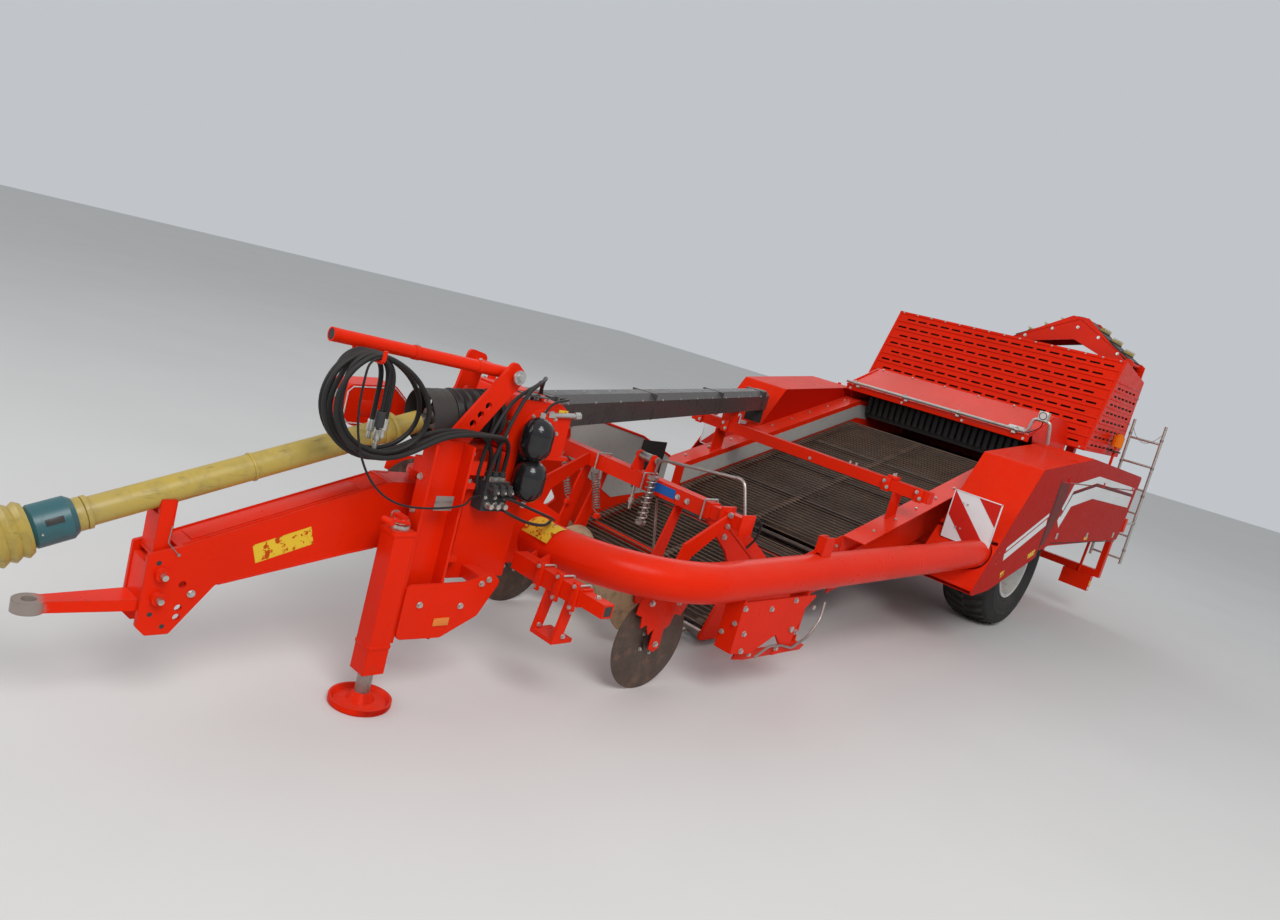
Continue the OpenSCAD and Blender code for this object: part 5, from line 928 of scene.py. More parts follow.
def dress_gearbox():
    steel = kit("gearbox_bolts")
    front = [(y, 1.245) for y in (-0.8, -0.7, -0.6, -0.5, -0.4, -0.345)]
    front += [(y, z) for z in (1.3, 1.37) for y in (-0.83, -0.34)]
    steel.bolts([(-3.38, y, z) for y, z in front], -X)
    for y in (-0.8, -0.68, -0.56, -0.44, -0.35):
        steel.bolts([(-3.22, y, 1.5), (-3.14, y, 1.5)], Z)
    ring = kit("gearbox_castings", "chassis", "paint_red")
    cover = [(0.0, 0.022), (0.085, 0.022), (0.095, 0.014), (0.118, 0.012), (0.122, 0.0), (0.0, 0.0)]
    for y, s in ((-0.845, -1), (-0.31, 1)):
        ring.turned(cover, (-3.19, y, 1.345), s * Y, 40)
        steel.bolts(circle((-3.19, y + s * 0.012, 1.345), 0.107, 8), s * Y, 0.01)
    for y in (-0.77, -0.69, -0.61, -0.53, -0.45, -0.38):
        ring.block((-3.386, y - 0.006, 1.265), (-3.379, y + 0.006, 1.4), 0.002)
    ring.block((-3.3, -0.64, 1.499), (-3.08, -0.42, 1.512), 0.004)
    steel.stud((-3.19, -0.53, 1.512), 0.033 * Z, 0.03)
    label = kit("small_labels", "chassis", "label_yellow")
    label.block((-3.095, -0.8462, 1.43), (-3.025, -0.845, 1.47), 0.0)
    black = kit("gearbox_plate", "chassis", "black_plastic")
    black.block((-3.33, -0.87, 1.52), (-3.2, -0.76, 1.526), 0.002)
    black.rod((-3.265, -0.815, 1.499), (-3.265, -0.815, 1.522), 0.02, 12)
    hose_fitting(steel, (-2.99, -0.7, 1.4), X, 0.026)
    hose_fitting(steel, (-2.99, -0.6, 1.32), X, 0.026)


def dress_head():
    dress_gearbox()
    steel = kit("head_bolts")
    red = kit("head_details", "chassis", "paint_red")
    # Nut and grease nipple on the drawbar's pin, and bolts through the clevis plates
    steel.stud(PIN + 1.089 * Z, 0.029 * Z, 0.08, soft=0.003)
    steel.stud(PIN + 1.118 * Z, 0.022 * Z, 0.01, 8)
    steel.bolts([(x, y, 1.07) for x, y in ((-3.62, -0.77), (-3.62, -0.63), (-3.58, -0.87))], Z, 0.016)
    steel.bolts([(-3.56, y, z) for y in (-0.79, -0.7, -0.61) for z in (0.6, 0.66)], -X, 0.016)
    # Leaning arms: pin heads, spacers and bolts
    for y, s in ((-0.895, -1), (-0.505, 1)):
        steel.stud((-3.45, y, 1.61), s * 0.012 * Y, 0.07, 24)
        steel.bolt((-3.45, y + s * 0.012, 1.61), s * Y, 0.018)
    steel.bolts([(-3.765, -0.87, 1.185), (-3.715, -0.87, 1.135), (-3.6, -0.87, 1.21)], -Y, 0.014)
    # Clamps round the hose arm, the rim of its open tip, and a black disc just inside that paints the shade
    # in the tip
    along = (ARM_ROOT - ARM_TIP).normalized()
    for k in (0.42, 0.8):
        p = ARM_TIP.lerp(ARM_ROOT, k)
        red.rod(p, p + along * 0.03, 0.066, 28)
        steel.bolt(p + Vector((0.015, 0, 0.033)), Z, 0.008)
    lip = [(0.024, -0.004), (0.0305, -0.004), (0.0305, 0.02), (0.0295, 0.02), (0.024, -0.004)]
    red.turned(lip, ARM_TIP, along, 28)
    # Black disc in the open tip: painted shade
    mouth = kit("arm_mouth_shade", "chassis", "black_rubber")
    mouth.rod(ARM_TIP - along * 0.002, ARM_TIP, 0.05, 24)
    # Valve block: coils, caps and fittings
    coils = kit("valve_coils", "chassis", "black_plastic")
    for x in (-3.49, -3.445, -3.4):
        coils.stud((x, -0.93, 1.055), -0.055 * Y, 0.036, 20)
        steel.stud((x, -0.985, 1.055), -0.015 * Y, 0.014)
        coils.block((x - 0.014, -0.975, 1.035), (x + 0.014, -0.94, 1.085), 0.003)
        steel.stud((x, -0.89, 1.089), 0.017 * Z, 0.04)
        hose_fitting(steel, (x, -0.93, 0.975), -Y, 0.02)
    for x in (-3.505, -3.445, -3.385):
        steel.bolt((x, -0.93, 1.01), -Y, 0.008)
    # Pressure bottles' valves and bottom studs, and the steel fitting above them
    steel.rod((-3.16, -0.85, 1.438), (-2.96, -0.86, 1.452), 0.026, 16)
    steel.rod((-3.17, -0.85, 1.437), (-3.13, -0.852, 1.44), 0.042, 6)
    steel.rod((-2.985, -0.859, 1.45), (-2.95, -0.86, 1.453), 0.04, 6)
    for x, z in ((-3.27, 1.11), (-3.285, 1.325)):
        steel.stud((x, -0.945, z + 0.11), 0.026 * Z, 0.03)
        steel.stud((x, -0.945, z - 0.11), -0.03 * Z, 0.026)
    hoses = kit("head_hoses", "chassis", "black_rubber")
    for d, points in HEAD_HOSES:
        hoses.pipe(smoothed(points), d, 10)
    # Channel for the jack: bolts, blank plate and reflector
    steel.bolts([(-3.9, -0.925, z) for z in (0.46, 0.62, 0.78, 0.94, 1.1)], -X, 0.014)
    plate = kit("head_plate", "chassis", "bare_steel")
    plate.block((-3.84, -0.9918, 0.96), (-3.74, -0.99, 1.03), 0.0008)
    reflector = kit("head_reflector", "chassis", "lamp_orange")
    reflector.block((-3.7, -1.01, 0.385), (-3.61, -1.004, 0.425), 0.002)
    side_bolts = ((-3.46, 0.59), (-3.42, 0.61), (-3.8, 0.5), (-3.56, 0.48))
    steel.bolts([(x, -1.004, z) for x, z in side_bolts], -Y, 0.014)
    # Tool case: lid seam, latch and pale edge
    rim = kit("case_edges", "chassis", "board_white")
    edge = [(-4.052, 1.2125), (-3.778, 1.2125), (-3.752, 1.238), (-3.752, 1.34), (-3.832, 1.403),
            (-4.055, 1.386), (-4.078, 1.36), (-4.078, 1.238), (-4.052, 1.2125)]
    for y in (-0.481, -0.311):
        rim.pipe([(x, y, z) for x, z in edge], 0.007, 6)
    steel.block((-4.086, -0.42, 1.31), (-4.079, -0.37, 1.35), 0.002)
    red.block((-4.0, -0.4815, 1.25), (-3.83, -0.48, 1.33), 0.0005)
    # Jack: bare sleeve of its leg, gear head, bolts and bands of its clamps, and the spring on top
    leg = kit("jack_leg_steel", "jack_leg", "bare_steel")
    sleeve = [(0.0352, 0.06), (0.0356, 0.062), (0.0356, 0.18), (0.0352, 0.182), (0.0352, 0.06)]
    leg.turned(sleeve, JACK, Z, 36)
    gear = kit("jack_head", "chassis", "zinc")
    gear.stud(JACK + 0.858 * Z, 0.022 * Z, 0.09, 24, soft=0.003)
    gear.stud((-3.966, -0.905, 0.905), 0.01 * Y, 0.048, 20)
    for z in (0.45, 0.73):
        gear.bolt((-3.912, -0.985, z), -Y, 0.01)
        gear.bolt((-3.912, -0.915, z), Y, 0.01)
    for z in (0.3, 0.845):
        red.block((-4.025, -1.009, z - 0.01), (-3.907, -0.891, z + 0.01), 0.003)
    rise = [(0.882 + 0.0011 * k) * Z for k in range(24)]
    gear.pipe([p + up for p, up in zip(circle(JACK, 0.034, 8, across=X, along=Y) * 3, rise)], 0.005, 6)


# Main tube and toolbar

TUBE_D = 0.229
# Axis of the tube's front run, and the plane of the carrier's outer plate under it
TUBE_X, TUBE_Z = -2.96, 0.745
CARRIER_BOLTS = [(-1.98, 0.6), (-1.92, 0.44), (-1.7, 0.58), (-1.45, 0.62), (-1.34, 0.4), (-1.52, 0.31),
                 (-1.9, 0.33)]


def web_z(x):
    return 0.79 + (min(x, 3.1) - 0.8) * 0.3182


def dress_tube():
    # A worn blank label wrapped round the front run
    label = kit("tube_label", "chassis", "label_yellow")
    part = bmesh.new()
    r = TUBE_D / 2 + LABEL_THICK
    x, z = TUBE_X + r * cos(radians(200)), TUBE_Z - r * sin(radians(200))
    line = [part.verts.new((x, y, z)) for y in (-0.98, -0.77)]
    edge = part.edges.new(line)
    bmesh.ops.spin(part, geom=line + [edge], cent=(TUBE_X, 0, TUBE_Z), axis=(0, 1, 0), angle=radians(95),
                   steps=16, use_merge=False, dvec=(0, 0, 0))
    label.add(part)
    steel = kit("tube_bolts")
    steel.bolts([(x, -1.57, z) for x, z in CARRIER_BOLTS], -Y, 0.016)
    for x in (-1.99, -1.31):
        steel.bolts([(x - 0.01, -1.545, 0.5), (x - 0.01, -1.475, 0.42)], -X, 0.014)
    # Grease fittings and a short steel link under the carrier
    steel.stud((-1.41, -1.585, 0.428), 0.014 * Y, 0.04, 24)
    steel.stud((-1.22, -1.585, 0.56), 0.014 * Y, 0.03, 24)
    link = kit("carrier_links", "chassis", "bare_steel")
    link.pipe([(-1.36, -1.585, 0.3), (-1.2, -1.588, 0.36), (-1.09, -1.58, 0.47), (-1.06, -1.56, 0.58)],
              0.018, 8, 0.04)
    link.pipe([(-1.75, -1.585, 0.28), (-1.62, -1.585, 0.34), (-1.48, -1.585, 0.33), (-1.36, -1.585, 0.3)],
              0.016, 8, 0.03)
    red = kit("tube_details", "chassis", "paint_red")
    red.plate([(-1.86, 0.24), (-1.74, 0.225), (-1.1, 0.225), (-1.06, 0.255), (-1.14, 0.285), (-1.76, 0.285),
               (-1.84, 0.3)], 0.01, on_side(-1.4985), 0.002)
    steel.bolts([(-1.7, -1.5085, 0.258), (-1.22, -1.5085, 0.258)], -Y, 0.014)
    # Flange bolts where the tube meets the cover, and the weld seam of its post
    steel.bolts(circle((1.478, -1.51, 0.849), 0.136, 8, 0.5, across=Y), -X, 0.014)
    red.pipe([(-1.262, -1.5, 0.862), (-1.118, -1.5, 0.866)], 0.008, 6)


def dress_toolbar():
    steel = kit("toolbar_bolts")
    red = kit("toolbar_details", "chassis", "paint_red")
    for y in (-1.37, -1.245, -1.1):
        steel.pipe([(-3.212, y, 0.714), (-3.082, y, 0.714), (-3.082, y, 0.606), (-3.212, y, 0.606)], 0.012, 8,
                   0.012)
        red.block((-3.196, y - 0.022, 0.588), (-3.1815, y + 0.022, 0.732), 0.002)
        for z in (0.714, 0.606):
            steel.stud((-3.196, y, z), -0.011 * X, 0.023)
    steel.bolts([(-3.15, -1.33, 0.43), (-3.135, -1.33, 0.56), (-3.18, -1.18, 0.43)], -Y, 0.012)
    steel.bolt((-3.1355, -1.48, 0.695), Z, 0.014)
    red.block((-3.168, -1.402, 0.7), (-3.103, -1.388, 0.7072), 0.001)
    # Black patch over the toolbar's open end: painted shade inside it
    dark = kit("toolbar_mouth_shade", "chassis", "black_rubber")
    dark.block((-3.161, -1.5608, 0.6345), (-3.11, -1.56, 0.6855), 0.0)
    steel.bolts([(-3.06, -1.0, 0.655), (-3.02, -1.0, 0.64)], -Y, 0.014)


# Intake: fittings of the cross tube, arms, springs, discs and shares

DISC_X, DISC_Z = -2.355, 0.295
DISC_Y = {"left": -1.25, "middle": 0.0, "right": 1.25}
ARM_BOLTS = [(-1.547, 0.909), (-1.48, 0.8), (-1.33, 0.86), (-0.905, 0.54), (-1.06, 0.62), (-1.34, 0.45),
             (-1.25, 0.35), (-1.15, 0.5), (-1.06, 0.3), (-0.62, 0.38), (-1.2, 0.16)]
DISC_BRACKET = [
    (-2.54, 0.6), (-2.2, 0.585), (-2.15, 0.52), (-2.19, 0.455), (-2.25, 0.47), (-2.27, 0.4), (-2.31, 0.38),
    (-2.31, 0.265), (-2.355, 0.245), (-2.4, 0.265), (-2.4, 0.39), (-2.44, 0.355), (-2.47, 0.42), (-2.52, 0.4),
    (-2.53, 0.47), (-2.585, 0.49), (-2.575, 0.57),
]


def coil(pieces, top, foot, d, wire, turns):
    """A drawn steel spring with its end eyes."""
    top, foot = Vector(top), Vector(foot)
    place = toward(foot, top - foot)
    length = (top - foot).length
    steps = turns * 10
    ring = circle((0, 0, 0), d / 2, 10, along=Y)
    points = [place @ (ring[i % 10] + (0.03 + (length - 0.06) * i / steps) * Z) for i in range(steps + 1)]
    pieces.pipe([foot] + points + [top], wire, 6)


def dress_intake():
    body = "intake"
    steel = kit("intake_bolts", body)
    red = kit("intake_details", body, "paint_red")
    label = kit("intake_label", body, "label_blue")
    label.block((-1.8712, -0.774, 0.985), (-1.8704, -0.568, 1.045), 0.0)
    # Rail along the cross tube and the roller of the top link
    rail = kit("intake_rail", body, "bare_steel")
    rail.pipe([(-1.815, -0.52, 1.062), (-1.82, -0.538, 1.178), (-1.82, -1.212, 1.263),
               (-1.82, -1.285, 1.062)],
              0.02, 10, 0.05)
    for y in (-0.43, 0.43):
        rail.rod((-1.82, y - 0.05, 1.16), (-1.82, y + 0.05, 1.16), 0.056, 28, soft=0.002)
        rail.rod((-1.82, y - 0.102, 1.16), (-1.82, y - 0.092, 1.16), 0.052, 24)
    for y in (-1.02, -0.5, -0.06, 0.42, 0.98):
        steel.pipe([(-1.885, y, 1.066), (-1.885, y, 1.072), (-1.755, y, 1.072), (-1.755, y, 0.95)], 0.012, 8,
                   0.01)
        steel.rod((-1.885, y, 0.945), (-1.885, y, 1.072), 0.012, 8)
    steel.bolts([(-1.87, y, 1.01) for y in (-0.88, -0.8, 0.8, 0.88)], -X, 0.016)
    for y in (-0.41, -0.09):
        steel.rod((-1.84, y, 0.8), (-1.85, y, 1.06), 0.022, 10)
        steel.rod((-1.842, y, 0.84), (-1.844, y, 0.87), 0.036, 6)
    coils = kit("intake_coils", body, "bare_steel")
    coil(coils, (-1.885, 0.262, 0.98), (-1.93, 0.06, 0.7), 0.046, 0.008, 15)
    coil(coils, (-1.885, -0.06, 0.96), (-1.94, -0.235, 0.7), 0.046, 0.008, 14)
    for y in (0.06, -0.235):
        red.block((-1.955, y - 0.015, 0.665), (-1.915, y + 0.015, 0.7), 0.003)
    for s in (-1, 1):
        steel.bolts([(x, s * 0.95, z) for x, z in ARM_BOLTS], s * Y, 0.018)
        steel.stud((-1.44, s * 0.95, 0.9), s * 0.035 * Y, 0.034)
        # Stiffening rib and clamps of the discs' arms
        red.plate([(-1.78, 0.952), (-1.52, 0.938), (-0.92, 0.575), (-0.6, 0.425), (-0.62, 0.405),
                   (-0.94, 0.545),
                   (-1.54, 0.905), (-1.78, 0.925)], 0.008, on_side(lifted(s, 0.95, 0.008)), 0.0015)
        for y, thick in ((s * 1.16, 0.024), (s * 1.31, 0.012)):
            red.block((-1.885, y - 0.012, 0.945), (-1.755, y - 0.012 + thick, 1.075), 0.002)
        steel.bolts([(-1.887, s * 1.235, 1.045), (-1.887, s * 1.235, 0.975)], -X, 0.016)
    hose = kit("intake_hoses", body, "black_rubber")
    hose.pipe(smoothed([(-1.44, -0.985, 0.9), (-1.36, -1.03, 0.96), (-1.24, -1.035, 0.93),
                        (-1.19, -1.01, 0.82),
                        (-1.2, -0.96, 0.72)]), 0.016, 8)
    # Disc scrapers outside the outer discs
    for s in (-1, 1):
        y = s * 1.292
        red.plate(DISC_BRACKET, 0.008, on_side(lifted(s, 1.292, 0.008)), 0.0015)
        holes = ((-2.48, 0.55), (-2.24, 0.54), (DISC_X, DISC_Z))
        steel.bolts([(x, y + s * 0.008, z) for x, z in holes], s * Y, 0.016)
    # Aprons beside the shares: the black flap with its rods, and the grey side panels
    flap = kit("intake_flaps", body, "black_rubber")
    for s in (-1, 1):
        flap.block((-2.12, s * 1.1 - 0.004, 0.19), (-1.9, s * 1.1 + 0.004, 0.72), 0.002)
        for z in (0.33, 0.37):
            rail.rod((-2.1, s * 1.112, z), (-1.93, s * 1.112, z - 0.03), 0.014, 10)
        steel.bolts([(-2.09, s * 1.104, 0.69), (-1.94, s * 1.104, 0.69)], s * Y)
    liner = kit("intake_liners", body, "liner_grey")
    rim = [(-1.76, 1.0), (-1.02, 1.12), (-0.34, 1.01), (0.08, 0.86), (0.08, 0.54), (-0.55, 0.45),
           (-0.9, 0.62), (-1.5, 0.975)]
    liner.plate(rim, 0.004, on_side(0.929))
    red.pipe([(x, 0.927, z) for x, z in rim[:4]], 0.024, 8)
    flap.block((-0.33, 0.91, 0.56), (-0.02, 0.918, 0.985), 0.002)
    # Sheet under the front web's upper run, in the web rods' finish: painted shade under the web
    sheet = kit("front_web_shade_sheet", body, "web_rods")
    rise = Vector((0.9529, 0, 0.3032))
    sheet.sheet([[Vector((-1.25, y, 0.08)) + rise * t for y in (-0.86, 0.86)] for t in (0.04, 1.25)], 0.002)
    # Tie rods down to the shares and the shares' bolts, and the discs' hub bolts
    for y in (-0.62, 0.62):
        rail.rod((-1.6, y, 0.12), (-1.82, y + 0.02, 0.94), 0.018, 10)
    for y in (-0.86, -0.44, -0.02, 0.02, 0.44, 0.86):
        steel.rod((-1.6, y, 0.058), (-1.596, y, 0.068), 0.03, 16)
    for side, y in DISC_Y.items():
        hub = kit("disc_" + side + "_bolts", "disc_" + side)
        for s in (-1, 1):
            hub.bolts(circle((DISC_X, y + s * 0.0048, DISC_Z), 0.078, 5), s * Y, 0.01)


# Channel: liners, lips, cross beam and line guard

def dress_channel():
    steel = kit("channel_bolts")
    red = kit("channel_details", "chassis", "paint_red")
    liner = kit("channel_liners", "chassis", "liner_grey")
    normal = Vector((-0.303, 0, 0.953))
    for s in (-1, 1):
        line = [(x, web_z(x) - 0.01) for x in (0.3, 3.1, 3.35)]
        rim = line + [(x, z + 0.15) for x, z in reversed(line)]
        liner.plate(rim, 0.003, on_side(s * 0.8995))
        steel.bolts(row((0.42, s * 1.02, web_z(0.42) + 0.192), (2.95, s * 1.02, web_z(2.95) + 0.192), 9),
                    normal)
        low, high = sorted((s * 0.908, s * 0.94))
        for p in row((0.6, 0, web_z(0.6) + 0.1), (2.7, 0, web_z(2.7) + 0.1), 8):
            red.block((p.x - 0.012, low, p.z - 0.07), (p.x, high, p.z + 0.08), 0.001)
    # Left trough panel between the intake and the channel
    red.plate([(-0.55, 0.42), (-0.55, 0.56), (0.16, 0.785), (0.16, 0.56)], 0.005, on_side(-0.903), 0.001)
    steel.bolts([(0.1, -0.908, 0.7), (0.1, -0.908, 0.62), (-0.5, -0.908, 0.5)], -Y, 0.012)
    # Brackets and fittings of the cross beam
    for y in (-1.16, -0.86, 0.88, 1.2):
        red.block((0.69, y - 0.035, 1.16), (0.71, y + 0.035, 1.275), 0.003)
        steel.bolts([(0.69, y - 0.018, 1.195), (0.69, y + 0.018, 1.24)], -X, 0.014)
    for y in (-0.52, -0.46):
        steel.stud((0.758, y, 1.266), 0.026 * Z, 0.024)
    red.block((0.715, -0.925, 1.266), (0.8, -0.845, 1.296), 0.004)
    for x in (0.74, 0.775):
        steel.stud((x, -0.885, 1.296), 0.022 * Z, 0.02)
    steel.stud((0.709, -0.1, 1.2), -0.009 * X, 0.03)
    # Line guard: its end collars, bands, screws and flap
    guard = kit("line_guard_ends", "chassis", "black_plastic")
    a, b = Vector((-2.88, -0.405, 1.378)), Vector((1.56, 1.18, 1.495))
    for t in (0.0, 0.955):
        p = a.lerp(b, t)
        guard.block((-0.101, -0.0985, -0.004), (0.101, 0.0985, 0.055), 0.006, toward(p, b - a))
    for t in (0.02, 0.34, 0.67, 0.95):
        guard.block((-0.098, -0.0955, -0.01), (0.098, 0.0955, 0.01), 0.003, toward(a.lerp(b, t), b - a))
    for p in row(a.lerp(b, 0.05), a.lerp(b, 0.93), 12):
        place = toward(p, b - a)
        steel.bolt(place @ Vector((0.0, 0.0925, 0)), place.to_3x3() @ Y, 0.008)
        steel.bolt(place @ Vector((-0.095, 0.05, 0)), place.to_3x3() @ -X, 0.008)
    flap = kit("line_guard_flap", "chassis", "black_rubber")
    flap.block((-0.09, -0.24, -0.006), (0.09, -0.085, -0.001), 0.001, toward(a.lerp(b, 0.99), b - a))
    # Dark sheet close under the web's upper run, in the web rods' finish: painted shade under the web
    sheet = kit("web_shade_sheet", "chassis", "web_rods")
    sheet.sheet([[(x, y, web_z(x) - 0.085) for y in (-0.875, 0.875)] for x in (0.36, 1.6, 2.97)], 0.002)
    # Grey pan under the web
    pan = kit("belly_pan", "chassis", "frame_grey")
    part = bmesh.new()
    bmesh.ops.create_grid(part, x_segments=1, y_segments=1, size=0.5,
                          matrix=Matrix.Diagonal((1.3, 1.52, 1, 1)))
    bmesh.ops.solidify(part, geom=part.faces[:], thickness=0.003)
    pan.add(part, Matrix.Translation((0.98, 0, web_z(0.98) - 0.318)) @ Matrix.Rotation(-0.308, 4, "Y"))


# Hood, its rail and curtain

def dress_hood():
    steel = kit("hood_bolts")
    red = kit("hood_details", "chassis", "paint_red")
    slope = Vector((-0.385, 0, 0.923))
    for y in (-0.98, -0.6, -0.2, 0.2, 0.6, 0.98):
        steel.bolts([(2.985, y, 1.8722), (3.54, y, 2.1034)], slope)
    tilt = Matrix.Rotation(-0.395, 4, "Y")
    for y in (-1.04, 1.04):
        place = Matrix.Translation((3.26, y, 1.985)) @ tilt
        red.block((-0.29, -0.008, -0.001), (0.29, 0.008, 0.012), 0.002, place)
    blank = kit("hood_label", "chassis", "label_pale")
    blue = kit("hood_sticker", "chassis", "label_blue")
    for label, a, b, place in ((blank, 0.055, 0.08, (3.06, -0.86, 1.9027)),
                               (blue, 0.03, 0.03, (3.05, -0.99, 1.8985))):
        label.block((-a, -b, 0.0), (a, b, LABEL_THICK), 0.0, Matrix.Translation(place) @ tilt)
    # Rail: clamps, joints and the gauge's dial
    rail = kit("rail_fittings", "chassis", "zinc")
    for y in (-0.93, -0.31, 0.31, 0.93):
        rail.rod((2.92, y - 0.016, 1.89), (2.92, y + 0.016, 1.89), 0.044, 16)
        rail.bolt((2.92, y, 1.912), Z, 0.01)
    dial = kit("gauge_face", "chassis", "label_pale")
    dial.rod((2.8795, -1.145, 2.085), (2.876, -1.145, 2.085), 0.062, 32)
    black = kit("gauge_case", "chassis", "black_plastic")
    case = [(0.0, 0.0), (0.038, 0.0), (0.038, 0.006), (0.033, 0.006), (0.033, 0.002), (0.0, 0.002)]
    black.turned(case, (2.88, -1.145, 2.085), -X, 32)
    hose = kit("rail_hose", "chassis", "black_rubber")
    lead = [(2.935, -1.145, 2.045), (2.96, -1.13, 1.98), (2.97, -1.08, 1.93), (2.975, -1.02, 1.888)]
    hose.pipe(smoothed(lead), 0.01, 8)
    # Curtain: its bright screws and brackets, the black sheet and near-black red wall behind it, which paint
    # the shade inside the hood, and the hood's front edge
    steel.bolts(row((3.198, -0.84, 1.815), (3.198, 0.84, 1.815), 13), -X, 0.01)
    for y in (-0.8, -0.4, 0.0, 0.4, 0.8):
        red.block((3.18, y - 0.022, 1.8), (3.199, y + 0.022, 1.88), 0.003)
    # Black sheet behind the fingers: painted shade inside the hood
    dark = kit("curtain_shade_sheet", "chassis", "black_rubber")
    dark.block((3.275, -0.885, 1.548), (3.283, 0.885, 1.84), 0.001)
    # Near-black red back wall: painted shade inside the hood
    wall = kit("hood_back_wall_shade", "chassis", "pillar_red")
    wall.block((4.282, -0.895, 1.3), (4.29, 0.895, 1.842), 0.001)
    fascia = kit("hood_fascia", "chassis", "paint_red")
    fascia.block((2.964, -1.055, 1.8), (2.97, 1.055, 1.866), 0.002)
    steel.bolts([(2.964, y, 1.822) for y in (-1.0, -0.35, 0.35, 1.0)], -X)
    # Cover tops beside the hood
    for s in (-1, 1):
        steel.bolts([(x, s * 1.6, 1.815 - (x - 3.18) * 0.0535) for x in (3.25, 3.75, 4.25, 4.75)], Z)
        red.block((3.2, s * 1.3 - 0.012, 1.812), (3.24, s * 1.3 + 0.012, 1.836), 0.003)


# Elevator: folds, flanges, cleats on the neck, lamp and beacon

ELEV_FOOT, ELEV_TOP = Vector((4.1, 0, 1.85)), Vector((4.5, 0, 2.88))
ELEV_Y = (-1.25, 1.5)


def dress_elevator():
    body = "elevator"
    red = kit("elevator_folds", body, "paint_red")
    steel = kit("elevator_bolts", body)
    run = ELEV_TOP - ELEV_FOOT
    along = run.normalized()
    out = along.cross(Y)
    face = Matrix((Y, along, out)).transposed().to_4x4()
    width = ELEV_Y[1] - ELEV_Y[0]
    pitch = run.length / 9.5
    for r in range(10):
        z = pitch * (r + 0.6) - 0.028
        face.translation = ELEV_FOOT + along * z + Y * ELEV_Y[0]
        red.block((0.02, -0.013, -0.001), (width - 0.02, 0.011, 0.013), 0.005, face)
    for y in (ELEV_Y[0], ELEV_Y[1] - 0.03):
        face.translation = ELEV_FOOT + Y * y
        red.block((0.0, 0.0, -0.001), (0.03, run.length, 0.009), 0.002, face)
    face.translation = ELEV_FOOT + Y * ELEV_Y[0]
    red.block((0.0, run.length - 0.034, -0.001), (width, run.length - 0.004, 0.012), 0.003, face)
    red.block((0.0, 0.004, -0.001), (width, 0.036, 0.012), 0.003, face)
    for i in range(15):
        for z in (0.02, run.length - 0.019):
            steel.bolt(face @ Vector((0.06 + i * (width - 0.12) / 14, z, 0.012)), out, 0.01)
    # Belt behind the front sheet, and black sheets inside the end walls: dark through its slots, they paint
    # the shade inside the elevator
    belt = kit("elevator_belt_and_shade", body, "black_rubber")
    ends = [ELEV_FOOT + along * t - out * 0.07 for t in (0.06, 1.06)]
    belt.sheet([[p + Y * y for y in (ELEV_Y[1] - 0.03, ELEV_Y[0] + 0.03)] for p in ends], 0.003)
    # Black sheets inside the end walls: painted shade inside the elevator
    for y in (ELEV_Y[0] + 0.031, ELEV_Y[1] - 0.028):
        belt.plate([(4.27, 1.885), (5.33, 1.885), (5.33, 2.7), (4.58, 2.7)], 0.003, on_side(y))
    # Rear sheet and end sheets
    for z in [1.9 + 0.0947 * k for k in range(9)]:
        red.block((5.379, ELEV_Y[0] + 0.02, z - 0.008), (5.386, ELEV_Y[1] - 0.02, z + 0.008), 0.002)
    for s, y in ((-1, ELEV_Y[0]), (1, ELEV_Y[1])):
        for z in [1.885 + 0.094 * k for k in range(9)]:
            x = 4.1 + (z - 1.85) * 0.388
            low, high = sorted((y, y + s * 0.006))
            red.block((x + 0.05, low, z - 0.007), (5.35, high, z + 0.007), 0.002)
        for z in (1.95, 2.25, 2.55):
            steel.bolt((5.355, y, z), s * Y, 0.014)
    # Yellow bristle cleats on the folded neck's belt
    neck = "neck"
    base = kit("cleat_bars", neck, "black_rubber")
    brush = kit("cleat_bristles", neck, "yellow_plastic")
    slopes = (((-1.2, 2.92), (-0.59, 3.274), (0.18, 0.44, 0.7)),
              ((-0.51, 3.274), (0.12, 2.93), (0.26, 0.52, 0.78)))
    for (ya, za), (yb, zb), stops in slopes:
        a, b = Vector((4.98, ya, za)), Vector((4.98, yb, zb))
        lift = X.cross(b - a).normalized()
        place = Matrix((X, (b - a).normalized(), lift)).transposed().to_4x4()
        for t in stops:
            place.translation = a.lerp(b, t)
            base.block((-0.2, -0.014, -0.001), (0.2, 0.014, 0.01), 0.002, place)
            for k in range(24):
                x = -0.19 + 0.0165 * k
                root = place @ Vector((x, -0.004, 0.01))
                tip = place @ Vector((x + 0.003 * (k % 3 - 1), 0.004 * (k % 2), 0.052))
                brush.rod(root, tip, 0.007, 6, 0.004)
    trim = kit("neck_trim", neck, "paint_red")
    for x in (4.7585, 5.2015):
        for (ya, za), (yb, zb) in (((-1.2, 2.9), (-0.56, 3.245)), ((-0.54, 3.245), (0.12, 2.905))):
            trim.rod((x, ya, za), (x, yb, zb), 0.012, 8)
    pins = kit("neck_pins", neck)
    pivots = ((-1.05, 2.955), (-0.8, 3.085), (-0.55, 3.15), (-0.28, 3.08), (0.0, 2.94))
    for x, way in ((4.7595, -X), (5.2005, X)):
        pins.bolts([(x, y, z) for y, z in pivots], way, 0.016)


